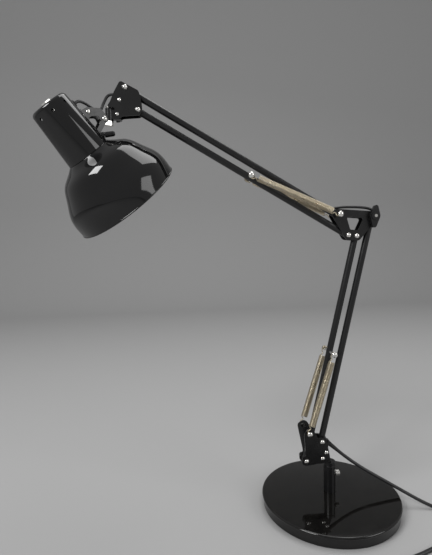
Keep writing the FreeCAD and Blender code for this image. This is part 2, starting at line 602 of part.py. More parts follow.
# ---------------------------------------------------------------- head bracket and swivel
def head_bracket_parts():
    outline = ARM_PLANE.rounded([
        (-326.0, 700.5, 4), (-299.0, 686.0, 4), (-295.6, 677.0, 3), (-294.0, 649.4, 6), (-324.6, 647.2, 6),
        (-330.0, 642.6, 2), (-335.4, 642.2, 1), (-335.4, 660.4, 2), (-347.6, 661.0, 2.5),
        (-342.0, 669.2, 5), (-334.8, 685.0, 20)])
    holes = [cross_rod(HEAD_LOWER, -40, 40, PIVOT_RADIUS), cross_rod(HEAD_TOP, -40, 40, PIVOT_RADIUS),
             cross_rod(KNUCKLE_RIVET, -40, 40, 1.6), cross_rod(PLATE_RIVET, -40, 40, 1.6)]
    for side, name in ((-1, "near"), (1, "far")):
        start, end = sorted((side * CHEEK_INSIDE, side * CHEEK_OUTSIDE))
        plate = ARM_PLANE.slab(outline, -end, -start)
        save(f"head_cheek_{name}", plate.cut(Part.makeCompound(holes)))
    rivets = [rivet(p, -CHEEK_OUTSIDE, PIVOT_RADIUS, 4.2, 2.8) for p in (HEAD_LOWER, HEAD_TOP)]
    rivets += [rivet(p, -CHEEK_OUTSIDE, 1.6, 2.8, 1.3) for p in (KNUCKLE_RIVET, PLATE_RIVET)]
    save("head_rivets", Part.makeCompound(rivets))
    spacers = [washer(p, side * CHEEK_INSIDE, side * (TUBE_RADIUS + 0.1), 4.6, PIVOT_RADIUS)
               for p in (HEAD_LOWER, HEAD_TOP) for side in (-1, 1)]
    spacers.append(washer(PLATE_RIVET, -CHEEK_INSIDE, CHEEK_INSIDE, 3.4, 1.6))
    save("head_spacers", Part.makeCompound(spacers))

    boss = rod(vec(SWIVEL_X, 0, 641.4), vec(SWIVEL_X, 0, 660.6), 6.0)
    web = Part.makeBox(18.0, 9.0, 14.0, vec(SWIVEL_X, -4.5, 644.0))
    wide = Part.makeBox(10.0, 2 * CHEEK_INSIDE, 15.6, vec(-335.2, -CHEEK_INSIDE, 643.2))
    knuckle = fuse([boss, web, wide])
    knuckle = knuckle.cut(rod(vec(SWIVEL_X, 0, 630), vec(SWIVEL_X, 0, 670), 4.05))
    knuckle = knuckle.cut(cross_rod(KNUCKLE_RIVET, -40, 40, 1.6))
    knuckle = knuckle.cut(cross_rod(HEAD_LOWER, -40, 40, 30.0 - 0.6))
    save("head_knuckle", knuckle)


# The head's own frame: along the shade's axis, above it, and out towards the back.
HEAD_LEVEL = vec(math.cos(math.radians(HEAD_TURN)), math.sin(math.radians(HEAD_TURN)), 0)
HEAD_ACROSS = vec(-HEAD_LEVEL.y, HEAD_LEVEL.x, 0)
DIP = math.radians(HEAD_DIP)
HEAD_ALONG = HEAD_LEVEL * math.cos(DIP) - Z_AXIS * math.sin(DIP)
HEAD_ABOVE = HEAD_LEVEL * math.sin(DIP) + Z_AXIS * math.cos(DIP)
TILT_POINT = vec(SWIVEL_X, 0, TILT_HEIGHT) - HEAD_LEVEL * TILT_OUT
SEAM_CENTRE = TILT_POINT - HEAD_ALONG * TILT_ALONG - HEAD_ABOVE * TILT_ABOVE


def head_at(along, above, across=0.0):
    return SEAM_CENTRE + HEAD_ALONG * along + HEAD_ABOVE * above + HEAD_ACROSS * across


def swivel_parts():
    pin = revolve([(634.2, 0.0), (634.2, 5.4), (634.8, 6.0), (640.9, 6.0), (640.9, 4.0),
                   (661.0, 4.0), (661.0, 5.6), (663.6, 5.6), (664.2, 5.0), (664.2, 0.0)],
                  vec(SWIVEL_X, 0, 0), Z_AXIS, X_AXIS)
    side = Plane(vec(SWIVEL_X, 0, 0), HEAD_LEVEL, Z_AXIS)
    lug = side.rounded([(0.0, 634.2, 0), (0.0, 640.9, 0), (-6.8, 640.9, 0), (-6.8, TILT_HEIGHT + 4.3, 1.5),
                        (-TILT_OUT - 4.3, TILT_HEIGHT + 4.3, 4.2), (-TILT_OUT - 4.3, 634.2, 4.2)])
    lug = side.slab(lug, -LUG_HALF, LUG_HALF)
    hole = rod(TILT_POINT - HEAD_ACROSS * 20, TILT_POINT + HEAD_ACROSS * 20, 2.05)
    neck = fuse([pin, lug]).cut(hole)
    save("swivel_pin", neck)


# ---------------------------------------------------------------- head
def neck_radius(along):
    return NECK_SEAM_RADIUS + along * (NECK_SEAM_RADIUS - NECK_TOP_RADIUS) / NECK_LENGTH


def head_revolve(edges_of_points):
    """Revolve a face about the shade's axis from a list of (kind, points) in (along, radius)."""
    edges = []
    for kind, points in edges_of_points:
        places = [head_at(a, r) for a, r in points]
        if kind == "arc":
            edges.append(Part.Arc(*places).toShape())
        elif kind == "curve":
            curve = Part.BSplineCurve()
            curve.interpolate(places)
            edges.append(curve.toShape())
        else:
            edges += [Part.LineSegment(places[i], places[i + 1]).toShape() for i in range(len(places) - 1)]
    return Part.Face(Part.Wire(edges)).revolve(SEAM_CENTRE, HEAD_ALONG, 360)


def shade_inside():
    """The shade's outline drawn in by the thickness of its sheet."""
    inside = []
    for i, (along, radius) in enumerate(SHADE_PROFILE):
        before = SHADE_PROFILE[max(i - 1, 0)]
        after = SHADE_PROFILE[min(i + 1, len(SHADE_PROFILE) - 1)]
        run, rise = after[0] - before[0], after[1] - before[1]
        size = math.hypot(run, rise)
        inside.append((along + SHELL * rise / size, radius - SHELL * run / size))
    return inside


def head_parts():
    top = -NECK_LENGTH
    wall = SHELL
    cap = head_revolve([
        ("line", [(0.0, neck_radius(0) - wall), (0.0, neck_radius(0)), (top + 5.0, neck_radius(top + 5.0))]),
        ("arc", [(top + 5.0, neck_radius(top + 5.0)), (top + 1.4, neck_radius(top) - 1.7), (top, neck_radius(top) - 5.0)]),
        ("line", [(top, neck_radius(top) - 5.0), (top, 5.1), (top + wall, 5.1),
                  (top + wall, neck_radius(top) - 5.2)]),
        ("arc", [(top + wall, neck_radius(top) - 5.2), (top + 2.2, neck_radius(top) - 2.5),
                 (top + 5.2, neck_radius(top + 5.2) - wall)]),
        ("line", [(top + 5.2, neck_radius(top + 5.2) - wall), (0.0, neck_radius(0) - wall)]),
    ])
    neck_body = head_revolve([("line", [(1.0, 0), (1.0, neck_radius(1.0)), (top - 1, neck_radius(top - 1)),
                                        (top - 1, 0), (1.0, 0)])])
    grommet_hole = rod(head_at(GROMMET_ALONG, 20), head_at(GROMMET_ALONG, 45), 4.0)
    switch_way = switch_direction()
    switch_hole = rod(SWITCH_FOOT - switch_way * 8, SWITCH_FOOT + switch_way * 20, 3.4)
    rivet_holes = [rod(head_at(a, 20), head_at(a, 50), 1.6) for a in STRAP_RIVETS]
    vents = []
    for k in range(8):
        angle = math.radians(22.5 + 45.0 * k)
        across, above = math.sin(angle), math.cos(angle)
        vents.append(rod(head_at(top + 12.0, 15 * above, 15 * across),
                         head_at(top + 12.0, 40 * above, 40 * across), 2.2))
    cap = cap.cut(Part.makeCompound([grommet_hole, switch_hole] + rivet_holes + vents))
    save("neck_cap", cap)

    outside = SHADE_PROFILE
    inside = shade_inside()
    mouth = outside[-1]
    collar = 33.4            # turned up inside the neck
    shade = head_revolve([
        ("line", [(-3.6, collar - wall), (-3.6, collar), (0.0, collar), outside[0]]),
        ("curve", outside),
        ("arc", [mouth, (mouth[0] + 1.6, mouth[1] + 0.6), (mouth[0] + 1.4, mouth[1] - 1.4)]),
        ("line", [(mouth[0] + 1.4, mouth[1] - 1.4), inside[-1]]),
        ("curve", inside[:0:-1] + [(1.6, outside[0][1] - 0.2)]),
        ("line", [(1.6, outside[0][1] - 0.2), (-0.4, collar - wall), (-3.6, collar - wall)]),
    ])
    save("shade", shade)

    holder = head_revolve([("line", [(-66.0, 0), (-66.0, 11.0), (-60.0, 16.5), (-24.0, 17.5), (-8.0, 19.0),
                                     (-4.0, 19.0), (-4.0, 13.7), (-34.0, 13.7), (-34.0, 0), (-66.0, 0)])])
    save("lamp_holder", holder)
    contact = rod(head_at(-34.0, 0), head_at(-32.2, 0), 5.0)
    nipple = rod(head_at(-66.0, 0), head_at(top - 1.2, 0), 5.0)
    nut_edges = [head_at(top, 8.0 * math.cos(k * math.pi / 3), 8.0 * math.sin(k * math.pi / 3)) for k in range(7)]
    nut = Part.Face(Part.makePolygon(nut_edges)).extrude(HEAD_ALONG * -3.0)
    nut = nut.cut(rod(head_at(top + 5, 0), head_at(top - 6, 0), 5.0))
    save("holder_fittings", Part.makeCompound([contact, nipple, nut]))
    bulb_cap = head_revolve([("line", [(-32.1, 0), (-32.1, 4.0), (-29.5, 9.0), (-28.0, 13.3), (-6.0, 13.3),
                                       (-6.0, 12.5), (-27.4, 12.5), (-28.8, 8.4), (-31.1, 3.6), (-31.1, 0),
                                       (-32.1, 0)])])
    save("bulb_cap", bulb_cap)
    glass = 0.8
    globe = 40.12                # the centre of the bulb's round end, along the axis
    globe_radius = 71.0 - globe

    def bulb_form(inset, neck):
        """The bulb's outline drawn in by inset, from the corners of its neck to its round end."""
        ball = globe_radius - inset
        waist = 22.0
        turn = math.acos((waist - globe) / ball)
        waist_radius = ball * math.sin(turn)
        return head_revolve([
            ("line", neck),
            ("arc", [neck[-1], (10.0, 17.5 - inset), (waist, waist_radius)]),
            ("arc", [(waist, waist_radius), (globe + ball * math.cos(turn / 2.0), ball * math.sin(turn / 2.0)),
                     (globe + ball, 0.0)]),
            ("line", [(globe + ball, 0.0), neck[0]])])

    bulb = bulb_form(0.0, [(-6.0, 0.0), (-6.0, 13.0)])
    bulb = bulb.cut(bulb_form(glass, [(-8.0, 0.0), (-8.0, 13.0 - glass), (-6.0, 13.0 - glass)]))
    save("bulb_glass", bulb)
    save("grommet", grommet(neck_body))
    strap_parts(neck_body)
    switch_parts(neck_body)


def grommet(neck_body):
    seat = neck_radius(GROMMET_ALONG)
    stem = rod(head_at(GROMMET_ALONG, seat - 2.5), head_at(GROMMET_ALONG, seat + 3.0), 3.9)
    flange = rod(head_at(GROMMET_ALONG, seat - 0.8), head_at(GROMMET_ALONG, seat + 3.0), 5.6)
    return fuse([stem, flange.cut(neck_body)])


def strap_parts(neck_body):
    side = Plane(head_at(0, 0), HEAD_ALONG, HEAD_ABOVE)          # its normal is across, to the back
    cheek = side.rounded([(-52.0, 26.0, 0), (-38.0, 26.0, 0), (-37.0, 40.0, 4), (-31.5, 49.0, 4),
                          (-24.0, 47.2, 6), (-16.4, 50.0, 6), (-18.4, 59.4, 5), (-31.0, 59.8, 5),
                          (-38.4, 58.6, 5), (-50.6, 42.0, 4)])
    saddle = head_revolve([("line", [(-54.0, 20.0), (-54.0, neck_radius(-54.0) + 1.6),
                                     (-34.0, neck_radius(-34.0) + 1.6), (-34.0, 20.0), (-54.0, 20.0)])])
    saddle_limit = side.rounded([(-53.5, 20.0, 0), (-35.0, 20.0, 0), (-35.0, 45.0, 0), (-53.5, 45.0, 0)])
    saddle = saddle.common(side.slab(saddle_limit, -12.5, 12.5))
    cheeks = [side.slab(cheek, STRAP_INSIDE, STRAP_OUTSIDE), side.slab(cheek, -STRAP_OUTSIDE, -STRAP_INSIDE)]
    strap = fuse([saddle] + cheeks).cut(neck_body)
    tilt = rod(TILT_POINT - HEAD_ACROSS * 20, TILT_POINT + HEAD_ACROSS * 20, PIVOT_RADIUS)
    tie = rod(head_at(*STRAP_BOLT, -20), head_at(*STRAP_BOLT, 20), PIVOT_RADIUS)
    holes = [rod(head_at(a, 20), head_at(a, 50), 1.6) for a in STRAP_RIVETS]
    save("head_strap", strap.cut(Part.makeCompound([tilt, tie] + holes)))

    def bolt(centre, half, head_radius, head_height):
        shank = rod(centre - HEAD_ACROSS * half, centre + HEAD_ACROSS * half, PIVOT_RADIUS)
        ends = [dome(centre + HEAD_ACROSS * (half * s), HEAD_ACROSS * s, head_radius, head_height) for s in (-1, 1)]
        return fuse([shank] + ends)

    link = 1.6
    studs = [bolt(TILT_POINT, STRAP_OUTSIDE + link, 4.2, 2.2), bolt(head_at(*STRAP_BOLT), STRAP_OUTSIDE, 3.4, 1.8)]
    for along in STRAP_RIVETS:
        seat = neck_radius(along) + 1.6
        shank = rod(head_at(along, seat - 4.0), head_at(along, seat + 0.4), 1.6)
        tail = rod(head_at(along, seat - 4.6), head_at(along, seat - 3.2), 2.6)
        studs.append(fuse([shank, tail, dome(head_at(along, seat + 0.3), HEAD_ABOVE, 2.8, 1.2)]))
    save("strap_bolts", Part.makeCompound(studs))

    bars = []
    for s in (-1, 1):
        bar = side.hull([(TILT_ALONG, TILT_ABOVE, 3.8), (-13.0, 27.0, 3.0)])
        low, high = sorted((s * STRAP_OUTSIDE, s * (STRAP_OUTSIDE + link)))
        bars.append(side.slab(bar, low, high).cut(neck_body).cut(tilt))
    save("tilt_struts", Part.makeCompound(bars))


SWITCH_ALONG = -8.0
SWITCH_ROUND = math.radians(28.5)          # round the neck from above, towards the front
SWITCH_LEAN = math.radians(28.0)           # the switch leans towards the shade
SWITCH_RADIAL = HEAD_ABOVE * math.cos(SWITCH_ROUND) - HEAD_ACROSS * math.sin(SWITCH_ROUND)
SWITCH_FOOT = SEAM_CENTRE + HEAD_ALONG * SWITCH_ALONG + SWITCH_RADIAL * neck_radius(SWITCH_ALONG)


def switch_direction():
    return SWITCH_RADIAL * math.cos(SWITCH_LEAN) + HEAD_ALONG * math.sin(SWITCH_LEAN)


def switch_parts(neck_body):
    way = switch_direction()
    foot = SWITCH_FOOT
    out = unit(HEAD_ALONG.cross(way))
    collar = rod(foot - way * 3.0, foot + way * 2.6, 4.4).cut(neck_body)
    stem = rod(foot - way * 4.5, foot + way * 2.6, 3.4)
    bush = fuse([collar, stem]).cut(rod(foot - way * 3.5, foot + way * 5, 1.55))
    save("switch_bush", bush)
    knob = revolve([(-3.0, 0.0), (-3.0, 1.5), (3.0, 1.5), (3.0, 3.6), (3.6, 4.1), (16.4, 3.8),
                    (18.2, 2.6), (18.8, 0.0)], foot, way, out)
    for k in range(6):
        angle = k * math.pi / 3
        radial = out * math.cos(angle) + way.cross(out) * math.sin(angle)
        knob = knob.cut(rod(foot + way * 6.0 + radial * 4.7, foot + way * 20.0 + radial * 4.4, 0.9))
    save("switch_knob", knob)


# ---------------------------------------------------------------- leads and mains cord
def route_tube(name, points, radius, share=0.45):
    """A round tube along straight runs joined by tangent arcs as large as the runs allow."""
    edges = []
    radii = []
    at = points[0]
    for i in range(1, len(points) - 1):
        corner = points[i]
        before = unit(points[i - 1] - corner)
        after = unit(points[i + 1] - corner)
        shorter = min((points[i - 1] - corner).Length, (points[i + 1] - corner).Length)
        back = share * shorter
        half = before.getAngle(after) / 2.0
        bend = back * math.tan(half)
        radii.append(bend)
        start = corner + before * back
        end = corner + after * back
        middle = corner + unit(before + after) * (bend / math.sin(half) - bend)
        edges.append(Part.LineSegment(at, start).toShape())
        edges.append(Part.Arc(start, middle, end).toShape())
        at = end
    edges.append(Part.LineSegment(at, points[-1]).toShape())
    way = unit(points[1] - points[0])
    solid = pipe(edges, points[0], way, radius)
    run = sum(e.Length for e in edges)
    print(f"{name}: length {run:.1f}, volume {solid.Volume:.0f} against {run * math.pi * radius ** 2:.0f}, "
          f"radii {[round(r, 1) for r in radii]}")
    return solid


def slot_run(slot, way, out, inside_first):
    """A lead's points where it leaves a tube's slot, from the bore to clear of the wall."""
    run = [slot - way * LEAD_STEP, slot - way * 3.0, slot + way * 8.0 + out * 9.0]
    return run if inside_first else run[::-1]


def lead_parts():
    upper = xz(UPPER_WAY)
    lower = xz(LOWER_WAY)
    top_slot = xz(plus(ELBOW_TOP, UPPER_WAY, TOP_SLOT_IN))
    rear_slot = xz(plus(ELBOW_REAR, LOWER_WAY, -REAR_SLOT_DOWN))
    foot_slot = xz(plus(FOOT_REAR, LOWER_WAY, FOOT_SLOT_UP))
    head_slot = xz(plus(HEAD_TOP, UPPER_WAY, -HEAD_SLOT_IN))
    before_middle = vec(28.0, 0, 505.0)
    elbow_middle = vec(43.0, 0, 504.6)
    save("elbow_lead_front", route_tube("elbow_lead_front", slot_run(top_slot, upper * -1.0, TOP_OUT, True) + [
        before_middle, elbow_middle], LEAD_RADIUS))
    save("elbow_lead_rear", route_tube("elbow_lead_rear", [
        elbow_middle, elbow_middle + unit(elbow_middle - before_middle) * 17.0,
        vec(76.6, 0, 500.2), vec(85.6, 0, 490.0)]
        + slot_run(rear_slot, lower, REAR_OUT, False), LEAD_RADIUS))
    save("upper_lead", rod(top_slot + upper * LEAD_STEP, head_slot - upper * LEAD_STEP, LEAD_RADIUS))
    save("lower_lead", rod(foot_slot + lower * LEAD_STEP, rear_slot - lower * LEAD_STEP, LEAD_RADIUS))
    grip_in = CORD_GRIP - CORD_WAY * 2.5
    save("foot_lead", route_tube("foot_lead", [
        foot_slot + lower * LEAD_STEP, foot_slot + lower * 4.0, LEAD_BY_GRIP, grip_in], LEAD_RADIUS))

    lead_meet = vec(-349.0, 0, 676.0)
    swivel = vec(SWIVEL_X, 0, 0)
    rise = swivel - HEAD_LEVEL * 10.2 + Z_AXIS * 664.5
    seat = neck_radius(GROMMET_ALONG) + 3.0
    save("head_lead", route_tube("head_lead", [
        head_at(GROMMET_ALONG, seat), head_at(GROMMET_ALONG, 41.0), head_at(-57.0, 47.2), head_at(-48.6, 50.8),
        head_at(-39.6, 54.4), swivel - HEAD_LEVEL * 13.4 + Z_AXIS * 655.4, rise, lead_meet], LEAD_RADIUS))
    onward = lead_meet + unit(lead_meet - rise) * 6.5
    save("bracket_lead", route_tube("bracket_lead", [
        lead_meet, onward, vec(-338.0, 1.2, 683.2), vec(-329.0, 0.6, 680.4)]
        + slot_run(head_slot, upper, TOP_OUT * -1.0, False), LEAD_RADIUS))


def coil_track():
    """Points and directions down the coil: in on the lower layer, a climb, out on the upper one."""
    steps = round(COIL_TURNS_PER_LAYER * 4)
    rate = COIL_PITCH / (2 * math.pi)
    outer = COIL_INNER_RADIUS + COIL_PITCH * COIL_TURNS_PER_LAYER
    track = []
    for k in range(2 * steps + 3):
        angle = COIL_START + k * math.pi / 2
        if k <= steps:
            radius = outer - COIL_PITCH * k / 4
            slope, height, climb = -rate, COIL_FLOOR, 0.0
        elif k == steps + 1:
            radius = COIL_INNER_RADIUS - rate * math.pi / 4
            slope, height, climb = 0.0, COIL_FLOOR + COIL_PITCH / 2, 2 * COIL_PITCH / math.pi
        else:
            radius = COIL_INNER_RADIUS + COIL_PITCH * (k - steps - 2) / 4
            slope, height, climb = rate, COIL_FLOOR + COIL_PITCH, 0.0
        out = vec(math.cos(angle), math.sin(angle), 0)
        around = vec(-math.sin(angle), math.cos(angle), 0)
        point = vec(COIL_CENTRE[0], COIL_CENTRE[1], height) + out * radius
        track.append((point, unit(around * radius + out * slope + Z_AXIS * climb)))
    return track


def cord_parts():
    grip = ARM_PLANE.rounded([(-9.2, 101.0, 0.5), (-4.6, 101.0, 0.5), (-4.2, 104.6, 1), (1.13, 110.6, 1.5),
                              (-2.6, 113.9, 1.5), (-8.6, 107.2, 2)])
    grip = ARM_PLANE.slab(grip, -CHEEK_INSIDE, CHEEK_INSIDE)
    grip = grip.cut(cross_rod(FOOT_REAR, -20, 20, TUBE_RADIUS + 1.0))
    lead_end = CORD_GRIP - CORD_WAY * 2.5
    lead_way = unit(lead_end - LEAD_BY_GRIP)
    grip = grip.cut(rod(lead_end - lead_way * 4.0, lead_end, LEAD_RADIUS + 0.1))
    face = CORD_GRIP + CORD_WAY * 2.5
    square = vec(-CORD_WAY.z, 0, CORD_WAY.x)
    sleeve = revolve([(-1.0, 0.0), (-1.0, 3.7), (1.5, 3.7), (SLEEVE_LENGTH, CORD_RADIUS + 0.15),
                      (SLEEVE_LENGTH, 0.0)], face, CORD_WAY, square)
    save("cord_grip", fuse([grip, sleeve]))

    track = coil_track()
    coil_start, coil_way = track[0]
    route = [CORD_EXIT, CORD_EXIT + CORD_WAY * 38.0, vec(100.0, -16.5, 36.4), vec(161.0, -36.5, 3.0),
             vec(189.0, -56.0, CORD_RADIUS), vec(196.0, -84.0, CORD_RADIUS), vec(180.0, -107.0, CORD_RADIUS),
             vec(149.0, -118.5, CORD_RADIUS), vec(115.0, -124.5, CORD_RADIUS), vec(82.0, -137.2, CORD_RADIUS),
             coil_start - coil_way * 30.0, coil_start]
    solid = route_tube("mains_cord", route, CORD_RADIUS)
    save("mains_cord", solid)

    edges = []
    for (p0, t0), (p1, t1) in zip(track[:-1], track[1:]):
        edges += biarc(p0, t0, p1, t1)
    coil_end, end_way = track[-1]
    level = unit(vec(end_way.x, end_way.y, 0))
    off_coil = coil_end + level * 17.0
    plug_entry = off_coil + level * 22.0 - Z_AXIS * (coil_end.z - PLUG_AXIS)
    edges += biarc(coil_end, end_way, off_coil, level)
    edges += biarc(off_coil, level, plug_entry, level)
    coil = pipe(edges, coil_start, coil_way, CORD_RADIUS)
    run = sum(e.Length for e in edges)
    tightest = min(e.Curve.Radius for e in edges if hasattr(e.Curve, "Radius"))
    print(f"cord_coil: length {run:.1f}, volume {coil.Volume:.0f} against {run * math.pi * CORD_RADIUS ** 2:.0f}, "
          f"least gap {least_gap(edges, CORD_DIAMETER, 30.0):.2f}, tightest bend {tightest:.1f}")
    save("cord_coil", coil)

    plug_side = Plane(plug_entry, level, vec(-level.y, level.x, 0))
    relief = revolve([(0.0, 0.0), (0.0, CORD_RADIUS + 0.4), (22.0, 5.0), (22.0, 0.0)], plug_entry, level, Z_AXIS)
    body = plug_side.rounded([(21.0, -6.0, 3), (27.0, -16.0, 6), (56.0, -17.5, 3), (56.0, 17.5, 3),
                              (27.0, 16.0, 6), (21.0, 6.0, 3)])
    body = plug_side.slab(body, -PLUG_AXIS, PLUG_AXIS)
    save("plug_body", fuse([relief, body]))
    pins = []
    for offset in (-9.3, 9.3):
        foot = plug_side.at(56.0, offset)
        pins.append(fuse([rod(foot, foot + level * 18.0, 2.0), Part.makeSphere(2.0, foot + level * 17.0)]))
    save("plug_pins", Part.makeCompound(pins))

    tie_angle = math.radians(-75.0)
    out = vec(math.cos(tie_angle), math.sin(tie_angle), 0)
    tie_plane = Plane(vec(*COIL_CENTRE, 0), out, Z_AXIS)
    inner_edge = COIL_INNER_RADIUS - 4.6
    outer_edge = COIL_INNER_RADIUS + COIL_PITCH * COIL_TURNS_PER_LAYER + 4.6
    top = COIL_FLOOR + COIL_PITCH + CORD_RADIUS + 0.3
    band = [tie_plane.rounded([(inner_edge - t, 0.85 - t, 3 + t), (outer_edge + t, 0.85 - t, 3 + t),
                               (outer_edge + t, top + t, 3 + t), (inner_edge - t, top + t, 3 + t)])
            for t in (0.8, 0.0)]
    tie = tie_plane.slab(band[0], -3, 3).cut(tie_plane.slab(band[1], -4, 4))
    save("cord_tie", tie)


def main():
    os.makedirs("parts", exist_ok=True)
    base_parts()
    bracket_parts()
    tube_parts()
    spring_parts()
    elbow_parts()
    head_bracket_parts()
    swivel_parts()
    head_parts()
    lead_parts()
    cord_parts()


main()
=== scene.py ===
import bpy
import math
import bmesh
import numpy as np
from mathutils import Matrix, Vector


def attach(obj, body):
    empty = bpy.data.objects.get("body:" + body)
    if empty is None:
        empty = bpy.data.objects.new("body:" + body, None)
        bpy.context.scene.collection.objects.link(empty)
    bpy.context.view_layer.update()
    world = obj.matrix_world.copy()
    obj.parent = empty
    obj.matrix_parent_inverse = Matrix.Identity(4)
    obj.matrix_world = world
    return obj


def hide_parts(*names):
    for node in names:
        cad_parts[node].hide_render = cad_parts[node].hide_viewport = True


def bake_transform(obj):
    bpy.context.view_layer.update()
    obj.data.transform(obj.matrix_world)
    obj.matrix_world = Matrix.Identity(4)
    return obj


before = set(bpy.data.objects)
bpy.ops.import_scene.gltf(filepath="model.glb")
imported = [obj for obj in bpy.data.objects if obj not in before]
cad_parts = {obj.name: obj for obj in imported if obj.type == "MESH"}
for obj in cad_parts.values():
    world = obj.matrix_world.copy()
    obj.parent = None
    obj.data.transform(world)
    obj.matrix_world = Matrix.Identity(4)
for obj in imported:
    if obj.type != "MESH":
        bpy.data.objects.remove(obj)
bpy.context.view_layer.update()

MM = 0.001


# ------------------------------------------------------------------ places, in millimetres
def polar(length, degrees_from_x):
    angle = math.radians(degrees_from_x)
    return Vector((length * math.cos(angle), 0.0, length * math.sin(angle)))


X_AXIS = Vector((1, 0, 0))
Y_AXIS = Vector((0, 1, 0))
Z_AXIS = Vector((0, 0, 1))
LOWER_WAY = polar(1.0, 76.7)
UPPER_WAY = polar(1.0, 149.2)
FOOT_FRONT = Vector((-42.0, 0, 81.5))
FOOT_REAR = Vector((-14.5, 0, 113.0))
FOOT_SPRING = Vector((-40.5, 0, 134.7))
ELBOW_FRONT = FOOT_FRONT + LOWER_WAY * 386.0
ELBOW_REAR = ELBOW_FRONT + FOOT_REAR - FOOT_FRONT
ELBOW_LOWER = ELBOW_FRONT + Vector((-14.0, 0, 1.5))
ELBOW_TOP = ELBOW_LOWER + Vector((-18.5, 0, 33.5))
HEAD_LOWER = ELBOW_LOWER + UPPER_WAY * 388.0
HEAD_TOP = HEAD_LOWER + Vector((-18.5, 0, 33.5))
LOWER_SPRING_PIN = FOOT_FRONT + LOWER_WAY * 188.8
UPPER_SPRING_PIN = ELBOW_LOWER + UPPER_WAY * 188.0

# the head's own frame: along the shade's axis, above it, and across to the back
HEAD_TURN = math.radians(31.4)
HEAD_DIP = math.radians(48.54)
HEAD_LEVEL = Vector((math.cos(HEAD_TURN), math.sin(HEAD_TURN), 0))
HEAD_ACROSS = Vector((-HEAD_LEVEL.y, HEAD_LEVEL.x, 0))
HEAD_ALONG = HEAD_LEVEL * math.cos(HEAD_DIP) - Z_AXIS * math.sin(HEAD_DIP)
HEAD_ABOVE = HEAD_LEVEL * math.sin(HEAD_DIP) + Z_AXIS * math.cos(HEAD_DIP)
SWIVEL_TOP = Vector((-344.7, 0, 0))
TILT_POINT = SWIVEL_TOP + Z_AXIS * 641.5 - HEAD_LEVEL * 10.9
SEAM_CENTRE = TILT_POINT + HEAD_ALONG * 22.7 - HEAD_ABOVE * 53.8
NECK_LENGTH = 84.5
NECK_TOP_RADIUS = 28.5
NECK_SEAM_RADIUS = 34.8


def head_at(along, above, across=0.0):
    return SEAM_CENTRE + HEAD_ALONG * along + HEAD_ABOVE * above + HEAD_ACROSS * across


def neck_radius(along):
    return NECK_SEAM_RADIUS + along * (NECK_SEAM_RADIUS - NECK_TOP_RADIUS) / NECK_LENGTH


# ------------------------------------------------------------------ camera
def make_camera():
    data = bpy.data.cameras.new("camera")
    data.sensor_fit = "HORIZONTAL"
    data.sensor_width = 36.0
    data.lens = 35.138
    data.clip_start = 0.02
    camera = bpy.data.objects.new("camera", data)
    right = Vector((0.995334, -0.093015, -0.025678)).normalized()
    forward = Vector((0.091085, 0.993506, -0.068185)).normalized()
    up = right.cross(forward)
    turn = Matrix((right, up, -forward)).transposed()
    camera.matrix_world = Matrix.Translation(Vector((-248.285, -676.879, 441.913)) * MM) @ turn.to_4x4()
    bpy.context.scene.collection.objects.link(camera)
    bpy.context.scene.camera = camera
    return camera


CAMERA = make_camera()

# ------------------------------------------------------------------ mains cord
CORD_RADIUS = 2.8
CORD_WAY = Vector((0.744, 0, -0.668)).normalized()
CORD_GRIP = Vector((-3.4, 0, 109.3))
CORD_EXIT = CORD_GRIP + CORD_WAY * 22.5
COIL_CENTRE = Vector((22.0, -194.0, 0))
COIL_TURNS = 3.25                # in each of the two layers
COIL_INNER_RADIUS = 20.8
COIL_PITCH = 6.2
COIL_FLOOR = 3.8
COIL_START = math.radians(100.0)
COIL_POINTS = 16                 # control points in each turn
PLUG_AXIS = 7.0


def coil_place(turns):
    """Radius and height of the coil after so many turns: in, up to the second layer, and out."""
    if turns <= COIL_TURNS:
        return COIL_INNER_RADIUS + COIL_PITCH * (COIL_TURNS - turns), COIL_FLOOR
    if turns < COIL_TURNS + 0.5:
        share = (turns - COIL_TURNS) / 0.5
        rise = share * share * (3.0 - 2.0 * share)
        return COIL_INNER_RADIUS - 0.8 * math.sin(math.pi * share), COIL_FLOOR + COIL_PITCH * rise
    return COIL_INNER_RADIUS + COIL_PITCH * (turns - COIL_TURNS - 0.5), COIL_FLOOR + COIL_PITCH


def coil_point(turns):
    radius, height = coil_place(turns)
    radius /= math.cos(math.pi / COIL_POINTS)
    angle = COIL_START + turns * 2.0 * math.pi
    return COIL_CENTRE + Vector((radius * math.cos(angle), radius * math.sin(angle), height))


def cord_points():
    start = COIL_START
    outer = COIL_INNER_RADIUS + COIL_PITCH * COIL_TURNS
    coil_start = COIL_CENTRE + Vector((outer * math.cos(start), outer * math.sin(start), COIL_FLOOR))
    coil_way = Vector((-math.sin(start), math.cos(start), 0))
    points = [CORD_EXIT, CORD_EXIT + CORD_WAY * 38.0, Vector((100.0, -16.5, 36.4)), Vector((161.0, -36.5, 3.0)),
              Vector((189.0, -56.0, 2.8)), Vector((196.0, -84.0, 2.8)), Vector((180.0, -107.0, 2.8)),
              Vector((149.0, -118.5, 2.8)), Vector((115.0, -124.5, 2.8)), Vector((82.0, -137.2, 2.8)),
              coil_start - coil_way * 30.0]
    steps = round((2 * COIL_TURNS + 0.5) * COIL_POINTS)
    points += [coil_point(k / COIL_POINTS) for k in range(steps + 1)]
    last = COIL_START + (2 * COIL_TURNS + 0.5) * 2.0 * math.pi
    level = Vector((-math.sin(last), math.cos(last), 0))
    end = COIL_CENTRE + Vector((math.cos(last), math.sin(last), 0)) * outer
    off_coil = end + level * 17.0
    entry = off_coil + level * 22.0
    points += [off_coil + Z_AXIS * (COIL_FLOOR + COIL_PITCH),
               off_coil + level * 11.0 + Z_AXIS * (PLUG_AXIS + 0.9),
               entry + Z_AXIS * PLUG_AXIS]
    return points, entry + Z_AXIS * PLUG_AXIS, level


